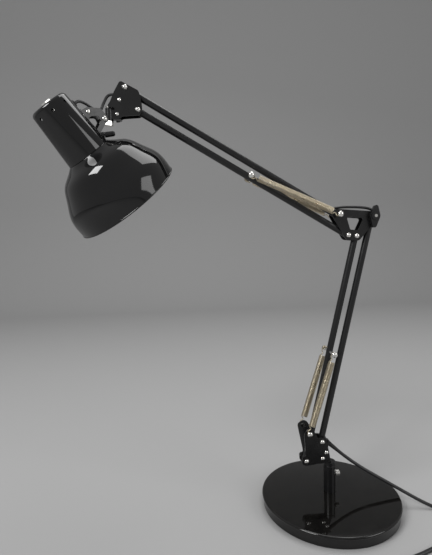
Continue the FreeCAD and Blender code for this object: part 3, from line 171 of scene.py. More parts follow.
def nurbs(name, points, radius, resolution=6, sides=3):
    """A round cord along one smooth curve whose control points are given in millimetres."""
    data = bpy.data.curves.new(name, "CURVE")
    data.dimensions = "3D"
    data.resolution_u = resolution
    data.bevel_depth = radius * MM
    data.bevel_resolution = sides
    data.use_fill_caps = True
    spline = data.splines.new("NURBS")
    spline.points.add(len(points) - 1)
    for place, point in zip(spline.points, points):
        place.co = (*(point * MM), 1.0)
    spline.order_u = 3
    spline.use_endpoint_u = True
    curve = bpy.data.objects.new(name, data)
    bpy.context.scene.collection.objects.link(curve)
    return curve


CORD_POINTS, PLUG_ENTRY, PLUG_WAY = cord_points()
mains_cord = nurbs("mains_flex", CORD_POINTS, CORD_RADIUS, resolution=6, sides=4)


# ------------------------------------------------------------------ mesh helpers
def finish_mesh(name, mesh, smooth_angle=35.0):
    piece = bpy.data.objects.new(name, mesh)
    bpy.context.scene.collection.objects.link(piece)
    shade_smooth(mesh, smooth_angle)
    return piece


def shade_smooth(mesh, smooth_angle):
    """Smooth faces, with edges sharp where they turn by more than the angle."""
    grid = bmesh.new()
    grid.from_mesh(mesh)
    limit = math.radians(smooth_angle)
    for edge in grid.edges:
        edge.smooth = len(edge.link_faces) == 2 and edge.calc_face_angle(0.0) < limit
    for face in grid.faces:
        face.smooth = True
    grid.to_mesh(mesh)
    grid.free()


def arc(first, middle, last, count):
    """Points of the arc through three (along, radius) points, both ends included."""
    (ax, ay), (bx, by), (cx, cy) = first, middle, last
    d = 2.0 * (ax * (by - cy) + bx * (cy - ay) + cx * (ay - by))
    a2, b2, c2 = (x * x + y * y for x, y in (first, middle, last))
    ux = (a2 * (by - cy) + b2 * (cy - ay) + c2 * (ay - by)) / d
    uy = (a2 * (cx - bx) + b2 * (ax - cx) + c2 * (bx - ax)) / d
    radius = math.hypot(ax - ux, ay - uy)
    start, way_point, end = (math.atan2(y - uy, x - ux) for x, y in (first, middle, last))
    sweep = (end - start) % (2.0 * math.pi)
    if (way_point - start) % (2.0 * math.pi) > sweep:
        sweep -= 2.0 * math.pi
    turns = [start + sweep * k / count for k in range(count + 1)]
    return [(ux + radius * math.cos(t), uy + radius * math.sin(t)) for t in turns]


def curve_through(knots, count):
    """A smooth curve through (along, radius) knots, as a natural cubic along their chord length."""
    knots = np.array(knots, float)
    run = np.concatenate(([0.0], np.cumsum(np.hypot(*np.diff(knots, axis=0).T))))
    n = len(run)
    gaps = np.diff(run)
    system = np.zeros((n, n))
    right = np.zeros((n, 2))
    system[0, 0] = system[-1, -1] = 1.0
    for i in range(1, n - 1):
        system[i, i - 1:i + 2] = gaps[i - 1], 2.0 * (gaps[i - 1] + gaps[i]), gaps[i]
        right[i] = 6.0 * ((knots[i + 1] - knots[i]) / gaps[i] - (knots[i] - knots[i - 1]) / gaps[i - 1])
    bend = np.linalg.solve(system, right)
    points = []
    for t in np.linspace(0.0, run[-1], count + 1):
        i = min(int(np.searchsorted(run, t, side="right")) - 1, n - 2)
        h = gaps[i]
        a = (run[i + 1] - t) / h
        b = (t - run[i]) / h
        curl = (a ** 3 - a) * bend[i] + (b ** 3 - b) * bend[i + 1]
        p = a * knots[i] + b * knots[i + 1] + curl * h * h / 6.0
        points.append((float(p[0]), float(p[1])))
    return points


def lathe(name, profile, origin, axis, out, segments=128, closed=True, smooth_angle=35.0):
    """A spun form from (along, radius) points in millimetres."""
    side = axis.cross(out)
    grid = bmesh.new()
    rings = []
    for along, radius in profile:
        centre = origin + axis * along
        if radius < 1e-6:
            rings.append([grid.verts.new(centre * MM)])
            continue
        ring = []
        for k in range(segments):
            angle = 2.0 * math.pi * k / segments
            spoke = out * math.cos(angle) + side * math.sin(angle)
            ring.append(grid.verts.new((centre + spoke * radius) * MM))
        rings.append(ring)
    pairs = list(zip(rings[:-1], rings[1:]))
    if closed:
        pairs.append((rings[-1], rings[0]))
    for low, high in pairs:
        if len(low) == 1 and len(high) == 1:
            continue
        for k in range(segments):
            j = (k + 1) % segments
            if len(low) == 1:
                grid.faces.new((low[0], high[k], high[j]))
            elif len(high) == 1:
                grid.faces.new((low[k], high[0], low[j]))
            else:
                grid.faces.new((low[k], high[k], high[j], low[j]))
    bmesh.ops.recalc_face_normals(grid, faces=grid.faces)
    mesh = bpy.data.meshes.new(name)
    grid.to_mesh(mesh)
    grid.free()
    return finish_mesh(name, mesh, smooth_angle)


def drill(piece, holes, smooth_angle=35.0):
    """Round holes cut through a piece: each is (start, end, radius) in millimetres."""
    cutters = []
    for start, end, radius in holes:
        axis = (end - start).normalized()
        out = axis.orthogonal().normalized()
        length = (end - start).length
        cutters.append(lathe("cutter", [(0, 0), (0, radius), (length, radius), (length, 0)], start, axis, out,
                             segments=24, closed=False))
    bpy.context.view_layer.update()
    for cutter in cutters:
        cut = piece.modifiers.new("hole", "BOOLEAN")
        cut.operation = "DIFFERENCE"
        cut.solver = "EXACT"
        cut.object = cutter
    graph = bpy.context.evaluated_depsgraph_get()
    mesh = bpy.data.meshes.new_from_object(piece.evaluated_get(graph))
    piece.modifiers.clear()
    old = piece.data
    piece.data = mesh
    bpy.data.meshes.remove(old)
    for cutter in cutters:
        bpy.data.objects.remove(cutter)
    shade_smooth(mesh, smooth_angle)


def solid_curve(name, points, radius, resolution=5, sides=3):
    """A short lead as a mesh: the tube along a smooth curve."""
    curve = nurbs(name + "_line", points, radius, resolution, sides)
    bpy.context.view_layer.update()
    graph = bpy.context.evaluated_depsgraph_get()
    mesh = bpy.data.meshes.new_from_object(curve.evaluated_get(graph))
    data = curve.data
    bpy.data.objects.remove(curve)
    bpy.data.curves.remove(data)
    return finish_mesh(name, mesh, 50.0)


def wire(name, points, radius, sides=8):
    """A round wire through closely spaced points, all in millimetres."""
    points = [np.array(p, float) for p in points]
    count = len(points)
    ways = []
    for i in range(count):
        way = points[min(i + 1, count - 1)] - points[max(i - 1, 0)]
        ways.append(way / np.linalg.norm(way))
    normal = np.cross(ways[0], [0.0, 1.0, 0.3])
    normal /= np.linalg.norm(normal)
    grid = bmesh.new()
    rings = []
    for point, way in zip(points, ways):
        normal = normal - way * normal.dot(way)
        normal /= np.linalg.norm(normal)
        other = np.cross(way, normal)
        rings.append([grid.verts.new((point + (normal * math.cos(t) + other * math.sin(t)) * radius) * MM)
                      for t in (2.0 * math.pi * k / sides for k in range(sides))])
    for low, high in zip(rings[:-1], rings[1:]):
        for k in range(sides):
            j = (k + 1) % sides
            grid.faces.new((low[k], low[j], high[j], high[k]))
    grid.faces.new(rings[0][::-1])
    grid.faces.new(rings[-1])
    mesh = bpy.data.meshes.new(name)
    grid.to_mesh(mesh)
    grid.free()
    return finish_mesh(name, mesh, 60.0)


# ------------------------------------------------------------------ materials
def new_group(name, inputs, outputs):
    tree = bpy.data.node_groups.new(name, "ShaderNodeTree")
    for label, kind, value in inputs:
        socket = tree.interface.new_socket(label, in_out="INPUT", socket_type=kind)
        socket.default_value = value
    for label, kind in outputs:
        tree.interface.new_socket(label, in_out="OUTPUT", socket_type=kind)
    return tree, tree.nodes.new("NodeGroupInput"), tree.nodes.new("NodeGroupOutput")


def noise(tree, vector, scale, detail=3.0, roughness=0.55):
    node = tree.nodes.new("ShaderNodeTexNoise")
    node.inputs["Detail"].default_value = detail
    node.inputs["Roughness"].default_value = roughness
    if isinstance(scale, float):
        node.inputs["Scale"].default_value = scale
    else:
        tree.links.new(scale, node.inputs["Scale"])
    tree.links.new(vector, node.inputs["Vector"])
    return node.outputs["Fac"]


def math_node(tree, operation, first, second=None, clamp=False):
    node = tree.nodes.new("ShaderNodeMath")
    node.operation = operation
    node.use_clamp = clamp
    for socket, value in zip(node.inputs, (first, second)):
        if value is None:
            continue
        if isinstance(value, (int, float)):
            socket.default_value = value
        else:
            tree.links.new(value, socket)
    return node.outputs[0]


def remap(tree, value, from_low, from_high, to_low, to_high):
    node = tree.nodes.new("ShaderNodeMapRange")
    for label, item in (("Value", value), ("From Min", from_low), ("From Max", from_high),
                        ("To Min", to_low), ("To Max", to_high)):
        if isinstance(item, (int, float)):
            node.inputs[label].default_value = item
        else:
            tree.links.new(item, node.inputs[label])
    return node.outputs["Result"]


def mix_colour(tree, factor, first, second):
    node = tree.nodes.new("ShaderNodeMix")
    node.data_type = "RGBA"
    for index, item in ((0, factor), (6, first), (7, second)):
        if isinstance(item, (int, float, tuple)):
            node.inputs[index].default_value = item
        else:
            tree.links.new(item, node.inputs[index])
    return node.outputs[2]


def place_of(tree):
    return tree.nodes.new("ShaderNodeTexCoord").outputs["Object"]


def wavy_gloss_group():
    """Roughness and height of a coat that isn't quite even: slow waves, and finger marks."""
    tree, given, out = new_group(
        "wavy_coat",
        [("Low Roughness", "NodeSocketFloat", 0.05), ("High Roughness", "NodeSocketFloat", 0.2),
         ("Mark Size", "NodeSocketFloat", 30.0)],
        [("Roughness", "NodeSocketFloat"), ("Height", "NodeSocketFloat")])
    place = place_of(tree)
    marks = noise(tree, place, given.outputs["Mark Size"], 5.0, 0.6)
    fine = noise(tree, place, 900.0, 2.0)
    spread = remap(tree, marks, 0.45, 0.75, given.outputs["Low Roughness"], given.outputs["High Roughness"])
    tree.links.new(spread, out.inputs["Roughness"])
    slow = noise(tree, place, 45.0, 1.0)
    slow_part = math_node(tree, "MULTIPLY", slow, 0.85)
    fine_part = math_node(tree, "MULTIPLY", fine, 0.15)
    height = math_node(tree, "ADD", slow_part, fine_part)
    tree.links.new(height, out.inputs["Height"])
    return tree


def settled_dust_group():
    """Colour with a thin dust that lies on faces that look up, broken by a fine noise."""
    tree, given, out = new_group(
        "settled_dust",
        [("Color", "NodeSocketColor", (0.02, 0.02, 0.02, 1)),
         ("Dust Color", "NodeSocketColor", (0.3, 0.28, 0.24, 1)),
         ("Amount", "NodeSocketFloat", 0.1)],
        [("Color", "NodeSocketColor")])
    geometry = tree.nodes.new("ShaderNodeNewGeometry")
    split = tree.nodes.new("ShaderNodeSeparateXYZ")
    tree.links.new(geometry.outputs["Normal"], split.inputs["Vector"])
    up = remap(tree, split.outputs["Z"], 0.2, 1.0, 0.0, 1.0)
    patches = remap(tree, noise(tree, place_of(tree), 60.0, 6.0, 0.7), 0.35, 0.8, 0.0, 1.0)
    specks = remap(tree, noise(tree, place_of(tree), 1400.0, 1.0), 0.62, 0.72, 0.15, 1.0)
    mask = math_node(tree, "MULTIPLY", math_node(tree, "MULTIPLY", up, patches), specks)
    mask = math_node(tree, "MULTIPLY", mask, given.outputs["Amount"], clamp=True)
    dusted = mix_colour(tree, mask, given.outputs["Color"], given.outputs["Dust Color"])
    tree.links.new(dusted, out.inputs["Color"])
    return tree


def fine_grain_group():
    """A fine even grain: a colour shift, a roughness and a height."""
    tree, given, out = new_group(
        "fine_grain",
        [("Color", "NodeSocketColor", (0.02, 0.02, 0.02, 1)), ("Shade Shift", "NodeSocketFloat", 0.2),
         ("Grain Size", "NodeSocketFloat", 2000.0), ("Roughness", "NodeSocketFloat", 0.4),
         ("Roughness Spread", "NodeSocketFloat", 0.1)],
        [("Color", "NodeSocketColor"), ("Roughness", "NodeSocketFloat"), ("Height", "NodeSocketFloat")])
    place = place_of(tree)
    grain = noise(tree, place, given.outputs["Grain Size"], 2.0)
    cloud = noise(tree, place, 35.0, 4.0, 0.65)
    level = remap(tree, cloud, 0.3, 0.7, -1.0, 1.0)
    shift = math_node(tree, "ADD", math_node(tree, "MULTIPLY", level, given.outputs["Shade Shift"]), 1.0)
    scale = tree.nodes.new("ShaderNodeVectorMath")
    scale.operation = "SCALE"
    tree.links.new(given.outputs["Color"], scale.inputs[0])
    tree.links.new(shift, scale.inputs["Scale"])
    tree.links.new(scale.outputs[0], out.inputs["Color"])
    swing = math_node(tree, "MULTIPLY", level, -0.5)
    spread = math_node(tree, "MULTIPLY", swing, given.outputs["Roughness Spread"])
    roughness = math_node(tree, "ADD", given.outputs["Roughness"], spread, clamp=True)
    tree.links.new(roughness, out.inputs["Roughness"])
    tree.links.new(grain, out.inputs["Height"])
    return tree


COAT = wavy_gloss_group()
DUST = settled_dust_group()
GRAIN = fine_grain_group()


def use_group(tree, group, **values):
    node = tree.nodes.new("ShaderNodeGroup")
    node.node_tree = group
    for label, value in values.items():
        node.inputs[label.replace("_", " ")].default_value = value
    return node


def start_material(name):
    material = bpy.data.materials.new(name)
    material.use_nodes = True
    tree = material.node_tree
    return material, tree, tree.nodes["Principled BSDF"]


def add_bump(tree, shader, height, strength, distance):
    bump = tree.nodes.new("ShaderNodeBump")
    bump.inputs["Strength"].default_value = strength
    bump.inputs["Distance"].default_value = distance
    tree.links.new(height, bump.inputs["Height"])
    tree.links.new(bump.outputs["Normal"], shader.inputs["Normal"])


def enamel(name, colour, low, high, dust, wave=0.02):
    """Stoved gloss enamel over spun or pressed metal."""
    material, tree, shader = start_material(name)
    coat = use_group(tree, COAT, Low_Roughness=low, High_Roughness=high, Mark_Size=26.0)
    dusty = use_group(tree, DUST, Color=(*colour, 1), Dust_Color=(0.22, 0.2, 0.17, 1), Amount=dust)
    tree.links.new(dusty.outputs["Color"], shader.inputs["Base Color"])
    tree.links.new(coat.outputs["Roughness"], shader.inputs["Roughness"])
    add_bump(tree, shader, coat.outputs["Height"], wave, 0.0006)
    shader.inputs["IOR"].default_value = 1.52
    return material


def grained(name, colour, roughness, spread=0.15, shift=0.2, grain=2200.0, bump=0.15, depth=0.0001,
            metallic=0.0, dust=0.0):
    """Satin paint, moulded plastic, rubber, felt or bare metal with a fine grain."""
    material, tree, shader = start_material(name)
    group = use_group(tree, GRAIN, Color=(*colour, 1), Shade_Shift=shift, Grain_Size=grain,
                      Roughness=roughness, Roughness_Spread=spread)
    colour_out = group.outputs["Color"]
    if dust > 0.0:
        dusty = use_group(tree, DUST, Dust_Color=(0.2, 0.19, 0.17, 1), Amount=dust)
        tree.links.new(colour_out, dusty.inputs["Color"])
        colour_out = dusty.outputs["Color"]
    tree.links.new(colour_out, shader.inputs["Base Color"])
    tree.links.new(group.outputs["Roughness"], shader.inputs["Roughness"])
    add_bump(tree, shader, group.outputs["Height"], bump, depth)
    shader.inputs["Metallic"].default_value = metallic
    return material


ENAMEL = enamel("gloss_black_enamel", (0.0035, 0.0035, 0.0038), 0.035, 0.12, 0.05)
BASE_ENAMEL = enamel("base_black_enamel", (0.004, 0.0038, 0.0036), 0.03, 0.16, 0.12)
ARM_PAINT = grained("satin_black_paint", (0.0055, 0.0055, 0.006), 0.3, spread=0.14, bump=0.08, dust=0.08)
PLATE_PAINT = grained("pressed_plate_paint", (0.007, 0.007, 0.0072), 0.26, spread=0.16, bump=0.08, dust=0.1)
PLATED = grained("bright_plating", (0.78, 0.77, 0.74), 0.16, spread=0.16, shift=0.12, bump=0.05, metallic=1.0)
SPRING_WIRE = grained("spring_wire_plating", (0.60, 0.53, 0.40), 0.3, spread=0.2, shift=0.18, grain=3000.0,
                      bump=0.08, metallic=1.0)
BLACK_PLASTIC = grained("black_moulding", (0.008, 0.008, 0.0085), 0.24, spread=0.12, bump=0.06)
BLACK_RUBBER = grained("black_rubber", (0.012, 0.012, 0.012), 0.55, spread=0.15, bump=0.2)
FLEX = grained("flex_sheath", (0.016, 0.016, 0.017), 0.36, spread=0.14, shift=0.25, bump=0.1)
PAD_FELT = grained("pad_felt", (0.02, 0.02, 0.02), 0.92, spread=0.08, shift=0.3, grain=1500.0, bump=0.8,
                   depth=0.0004)
CAST_WEIGHT = grained("cast_weight", (0.11, 0.11, 0.112), 0.65, spread=0.2, grain=900.0, bump=0.5,
                      depth=0.0003)
BRASS = grained("cap_brass", (0.72, 0.55, 0.27), 0.26, spread=0.2, bump=0.05, metallic=1.0)


def white_inside():
    """The warm white coat inside the shade."""
    material, tree, shader = start_material("shade_inside_white")
    group = use_group(tree, GRAIN, Color=(0.62, 0.61, 0.57, 1), Shade_Shift=0.05, Grain_Size=1800.0,
                      Roughness=0.4, Roughness_Spread=0.1)
    tree.links.new(group.outputs["Color"], shader.inputs["Base Color"])
    tree.links.new(group.outputs["Roughness"], shader.inputs["Roughness"])
    add_bump(tree, shader, group.outputs["Height"], 0.05, 0.0001)
    return material


def frosted_glass():
    material, tree, shader = start_material("frosted_bulb_glass")
    group = use_group(tree, GRAIN, Color=(0.86, 0.86, 0.84, 1), Shade_Shift=0.03, Grain_Size=2600.0,
                      Roughness=0.5, Roughness_Spread=0.1)
    tree.links.new(group.outputs["Color"], shader.inputs["Base Color"])
    tree.links.new(group.outputs["Roughness"], shader.inputs["Roughness"])
    add_bump(tree, shader, group.outputs["Height"], 0.04, 0.0001)
    shader.inputs["Transmission Weight"].default_value = 0.35
    shader.inputs["IOR"].default_value = 1.45
    return material


SHADE_WHITE = white_inside()
BULB_FROST = frosted_glass()


def paint(piece, *materials):
    piece.data.materials.clear()
    for material in materials:
        piece.data.materials.append(material)


def paint_nodes(material, *names):
    for name in names:
        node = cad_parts[name]
        for slot in node.material_slots:
            slot.material = material
        if not node.material_slots:
            node.data.materials.append(material)


# ------------------------------------------------------------------ base
def make_base():
    rim = 19.5
    skirt = 113.0
    wall = 1.2
    profile = [(2.0, skirt - wall), (2.0, skirt), (rim - 5.6, skirt), (rim - 5.0, skirt)]
    profile += arc((rim - 5.0, skirt), (rim - 2.6, 115.0), (rim + 0.2, skirt - 0.6), 14)[1:]
    profile += arc((rim + 0.2, skirt - 0.6), (rim + 2.9, 70.0), (24.0, 12.0), 40)[1:]
    profile += [(24.0, 11.0), (24.0, 5.0), (22.8, 5.0), (22.8, 12.0)]
    profile += arc((22.8, 12.0), (rim + 1.7, 70.0), (rim - 1.2, skirt - wall), 16)[1:]
    cover = lathe("base_dome", profile, Vector((0, 0, 0)), Z_AXIS, X_AXIS, segments=192, smooth_angle=40.0)
    paint(cover, BASE_ENAMEL)
    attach(cover, "base")
    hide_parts("base_cover")


# ------------------------------------------------------------------ springs
def spring_points(start, end, turns, coil_radius, wire_radius, eye_radius):
    """A close-wound spring from pin to pin, with an eye at each end."""
    way = (end - start).normalized()
    side = way.cross(Y_AXIS)
    length = (end - start).length
    neck = 9.5
    body = length - 2.0 * (eye_radius + neck)
    points = []

    def eye(centre, inward, angles):
        spokes = [inward * math.cos(t) + side * math.sin(t) for t in angles]
        return [centre + spoke * eye_radius for spoke in spokes]

    sweep = [math.radians(a) for a in np.linspace(330.0, 90.0, 22)]
    points += eye(start, way, sweep)
    climb = [(eye_radius + 1.5, 0.86), (eye_radius + 3.2, 0.45), (eye_radius + 4.8, 0.2), (eye_radius + 6.4, 0.34),
             (eye_radius + 8.0, 0.72)]
    for along, share in climb:
        points.append(start + way * along + side * (coil_radius * share))
    steps = turns * 16
    for k in range(steps + 1):
        angle = 2.0 * math.pi * k / 16
        points.append(start + way * (eye_radius + neck + body * k / steps)
                      + side * (coil_radius * math.cos(angle)) + Y_AXIS * (coil_radius * math.sin(angle)))
    for along, share in climb[::-1]:
        points.append(end - way * along + side * (coil_radius * share))
    points += eye(end, way * -1.0, sweep[::-1])
    return points


def make_springs():
    settings = (("lower", FOOT_SPRING, LOWER_SPRING_PIN, 21.5, "lower_anchor", "lower_springs", 54),
                ("upper", ELBOW_TOP, UPPER_SPRING_PIN, 18.5, "upper_anchor", "upper_springs", 62))
    for level, start, end, y, anchor, slider, turns in settings:
        for side, word in ((-1, "near"), (1, "far")):
            shift = Y_AXIS * (side * y)
            points = spring_points(start + shift, end + shift, turns, 4.75, 0.75, 3.6)
            spring = wire(f"{level}_spring_{word}_wound", points, 0.78)
            paint(spring, SPRING_WIRE)
            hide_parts(f"{level}_spring_{word}")
            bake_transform(spring)


# ------------------------------------------------------------------ head
def make_shade():
    wall = 1.0
    outside = [(0.0, 34.8), (4.25, 40.3), (17.0, 59.7), (37.0, 73.0), (60.0, 85.5), (89.0, 88.0)]
    outer = curve_through(outside, 60)
    inner = []
    for i, (along, radius) in enumerate(outer):
        before = outer[max(i - 1, 0)]
        after = outer[min(i + 1, len(outer) - 1)]
        run, rise = after[0] - before[0], after[1] - before[1]
        size = math.hypot(run, rise)
        inner.append((along + wall * rise / size, radius - wall * run / size))
    profile = [(-3.6, 32.4), (-3.6, 33.4), (-0.2, 33.4)] + outer
    mouth = outer[-1]
    profile += arc(mouth, (mouth[0] + 1.6, mouth[1] + 0.6), (mouth[0] + 1.4, mouth[1] - 1.4), 8)[1:]
    first_inside = len(profile)
    profile += inner[:1:-1]
    profile += [(1.4, 34.4), (-0.6, 32.4)]
    shade = lathe("shade_spun", profile, SEAM_CENTRE, HEAD_ALONG, HEAD_ABOVE, segments=192, smooth_angle=50.0)
    paint(shade, ENAMEL, SHADE_WHITE)
    for index, face in enumerate(shade.data.polygons):
        face.material_index = 1 if index // 192 >= first_inside - 1 and index // 192 < len(profile) - 2 else 0
    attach(shade, "head")
    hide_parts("shade")


GROMMET_ALONG = -63.9
STRAP_RIVETS = (-41.0, -48.0)
SWITCH_ROUND = math.radians(28.5)
SWITCH_LEAN = math.radians(28.0)
SWITCH_RADIAL = HEAD_ABOVE * math.cos(SWITCH_ROUND) - HEAD_ACROSS * math.sin(SWITCH_ROUND)
SWITCH_FOOT = SEAM_CENTRE - HEAD_ALONG * 8.0 + SWITCH_RADIAL * neck_radius(-8.0)
SWITCH_WAY = SWITCH_RADIAL * math.cos(SWITCH_LEAN) + HEAD_ALONG * math.sin(SWITCH_LEAN)


def make_neck():
    top = -NECK_LENGTH
    wall = 1.0
    profile = [(0.0, neck_radius(0) - wall), (0.0, neck_radius(0) - 0.3), (-0.3, neck_radius(0)),
               (top + 5.0, neck_radius(top + 5.0))]
    profile += arc((top + 5.0, neck_radius(top + 5.0)), (top + 1.4, neck_radius(top) - 1.7),
                   (top, neck_radius(top) - 5.0), 12)[1:]
    profile += [(top, 5.1), (top + wall, 5.1), (top + wall, neck_radius(top) - 5.2)]
    profile += arc((top + wall, neck_radius(top) - 5.2), (top + 2.2, neck_radius(top) - 2.5),
                   (top + 5.2, neck_radius(top + 5.2) - wall), 6)[1:]
    neck = lathe("neck_spun", profile, SEAM_CENTRE, HEAD_ALONG, HEAD_ABOVE, segments=160, smooth_angle=40.0)
    holes = [(head_at(GROMMET_ALONG, 20), head_at(GROMMET_ALONG, 45), 4.0),
             (SWITCH_FOOT - SWITCH_WAY * 8, SWITCH_FOOT + SWITCH_WAY * 20, 3.4)]
    holes += [(head_at(a, 20), head_at(a, 50), 1.6) for a in STRAP_RIVETS]
    for k in range(8):
        angle = math.radians(22.5 + 45.0 * k)
        across, above = math.sin(angle), math.cos(angle)
        inside, outside = (head_at(top + 12.0, reach * above, reach * across) for reach in (15.0, 40.0))
        holes.append((inside, outside, 2.2))
    drill(neck, holes, 40.0)
    paint(neck, ENAMEL)
    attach(neck, "head")
    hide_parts("neck_cap")


def make_bulb():
    globe = 40.12
    globe_radius = 71.0 - globe
    waist = 22.0
    turn = math.acos((waist - globe) / globe_radius)
    waist_radius = globe_radius * math.sin(turn)
    profile = [(-6.0, 12.2), (-6.0, 13.0)]
    profile += arc((-6.0, 13.0), (10.0, 17.5), (waist, waist_radius), 14)[1:]
    turns = [turn * (1 - k / 20) for k in range(1, 20)]
    profile += [(globe + globe_radius * math.cos(t), globe_radius * math.sin(t)) for t in turns]
    profile += [(71.0, 0.0)]
    bulb = lathe("bulb_frosted", profile, SEAM_CENTRE, HEAD_ALONG, HEAD_ABOVE, segments=64, closed=False,
                 smooth_angle=60.0)
    paint(bulb, BULB_FROST)
    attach(bulb, "head")
    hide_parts("bulb_glass")


# ------------------------------------------------------------------ leads
LEAD_RADIUS = 2.2
LEAD_STEP = 9.5
REAR_OUT = Vector((LOWER_WAY.z, 0, -LOWER_WAY.x))
TOP_OUT = Vector((UPPER_WAY.z, 0, -UPPER_WAY.x))


def slot_run(slot, way, out, inside_first):
    run = [slot - way * LEAD_STEP, slot - way * 3.0, slot + way * 8.0 + out * 9.0]
    return run if inside_first else run[::-1]


def make_leads():
    top_slot = ELBOW_TOP + UPPER_WAY * 15.0
    rear_slot = ELBOW_REAR - LOWER_WAY * 15.0
    foot_slot = FOOT_REAR + LOWER_WAY * 9.0
    head_slot = HEAD_TOP - UPPER_WAY * 16.0
    before_middle = Vector((28.0, 0, 505.0))
    elbow_middle = Vector((43.0, 0, 504.6))
    beyond = elbow_middle + (elbow_middle - before_middle).normalized() * 17.0

    def lead(name, points, node, body=None, between=None):
        piece = solid_curve(name, points, LEAD_RADIUS)
        paint(piece, FLEX)
        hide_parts(node)
        if between:
            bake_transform(piece)
        else:
            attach(piece, body)

    front = slot_run(top_slot, UPPER_WAY * -1.0, TOP_OUT, True)
    lead("elbow_flex_front", front + [before_middle, elbow_middle], "elbow_lead_front",
         between=("top_tube", "elbow", front[-1], before_middle))
    rear = slot_run(rear_slot, LOWER_WAY, REAR_OUT, False)
    lead("elbow_flex_rear", [elbow_middle, beyond, Vector((76.6, 0, 500.2)), Vector((85.6, 0, 490.0))] + rear,
         "elbow_lead_rear", between=("elbow", "rear_tube", beyond, rear[0]))
    lead("upper_flex", [top_slot + UPPER_WAY * LEAD_STEP, top_slot.lerp(head_slot, 0.5),
                        head_slot - UPPER_WAY * LEAD_STEP], "upper_lead", body="top_tube")
    lead("lower_flex", [foot_slot + LOWER_WAY * LEAD_STEP, foot_slot.lerp(rear_slot, 0.5),
                        rear_slot - LOWER_WAY * LEAD_STEP], "lower_lead", body="rear_tube")
    lead("foot_flex", [foot_slot + LOWER_WAY * LEAD_STEP, foot_slot + LOWER_WAY * 4.0, Vector((-6.3, 0, 113.3)),
                       CORD_GRIP - CORD_WAY * 2.5], "foot_lead", body="bracket")

    lead_meet = Vector((-349.0, 0, 676.0))
    rise = SWIVEL_TOP - HEAD_LEVEL * 10.2 + Z_AXIS * 664.5
    seat = neck_radius(GROMMET_ALONG) + 3.0
    low = SWIVEL_TOP - HEAD_LEVEL * 13.4 + Z_AXIS * 655.4
    head_points = [head_at(GROMMET_ALONG, seat), head_at(-64.6, 41.0), head_at(-57.0, 47.2), head_at(-48.6, 50.8),
                   head_at(-39.6, 54.4), low, rise, lead_meet]
    lead("head_flex", head_points, "head_lead", between=("head", "head_swivel", head_at(-57.0, 47.2), low))
    onward = lead_meet + (lead_meet - rise).normalized() * 6.5
    lead("bracket_flex", [lead_meet, onward, Vector((-338.0, 1.2, 683.2)), Vector((-329.0, 0.6, 680.4))]
         + slot_run(head_slot, UPPER_WAY, TOP_OUT * -1.0, False), "bracket_lead", body="head_bracket")


# ------------------------------------------------------------------ plug and tie
def slab_mesh(name, outline, height, origin, across, up, bevel=1.2):
    """A flat form with rounded edges, half its height on each side of its (u, v) outline."""
    normal = across.cross(up)
    grid = bmesh.new()
    low = [grid.verts.new((origin + across * u + up * v - normal * (height / 2)) * MM) for u, v in outline]
    face = grid.faces.new(low)
    made = bmesh.ops.extrude_face_region(grid, geom=[face])
    risen = [v for v in made["geom"] if isinstance(v, bmesh.types.BMVert)]
    bmesh.ops.translate(grid, verts=risen, vec=normal * height * MM)
    bmesh.ops.recalc_face_normals(grid, faces=grid.faces)
    edges = [e for e in grid.edges if e.calc_face_angle(0.0) > math.radians(50)]
    bmesh.ops.bevel(grid, geom=edges, offset=bevel * MM, segments=4, profile=0.5, affect="EDGES")
    mesh = bpy.data.meshes.new(name)
    grid.to_mesh(mesh)
    grid.free()
    return finish_mesh(name, mesh, 30.0)


def corner_rounded(corners, steps=5):
    """An outline of (u, v, radius) corners with each corner rounded."""
    outline = []
    count = len(corners)
    for i, (u, v, radius) in enumerate(corners):
        here = Vector((u, v))
        before = (Vector(corners[i - 1][:2]) - here).normalized()
        after = (Vector(corners[(i + 1) % count][:2]) - here).normalized()
        half = before.angle(after) / 2.0
        back = radius / math.tan(half)
        centre = here + (before + after).normalized() * (radius / math.sin(half))
        start = here + before * back - centre
        end = here + after * back - centre
        turn = start.angle_signed(end)
        for k in range(steps + 1):
            spun = start.copy()
            spun.rotate(Matrix.Rotation(-turn * k / steps, 2))
            outline.append(tuple(centre + spun))
    return outline


def make_plug():
    side = Vector((-PLUG_WAY.y, PLUG_WAY.x, 0))
    outline = corner_rounded([(21.0, -6.0, 3), (27.0, -16.0, 6), (56.0, -17.5, 3), (56.0, 17.5, 3),
                              (27.0, 16.0, 6), (21.0, 6.0, 3)])
    body = slab_mesh("plug_moulding", outline, 13.8, PLUG_ENTRY, PLUG_WAY, side, 2.2)
    relief = lathe("plug_relief", [(0.0, 0.0), (0.0, 3.1), (3.0, 3.3), (3.4, 2.95), (4.6, 2.95), (5.0, 3.5), (8.0, 3.8),
                                   (8.4, 3.3), (9.6, 3.3), (10.0, 4.0), (13.0, 4.3), (13.4, 3.8), (14.6, 3.8),
                                   (15.0, 4.5), (22.5, 5.0), (22.5, 0.0)], PLUG_ENTRY, PLUG_WAY, Z_AXIS,
                   segments=32, closed=False)
    for piece in (body, relief):
        paint(piece, BLACK_PLASTIC)
        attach(piece, "bracket")
    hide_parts("plug_body")
    return body, relief


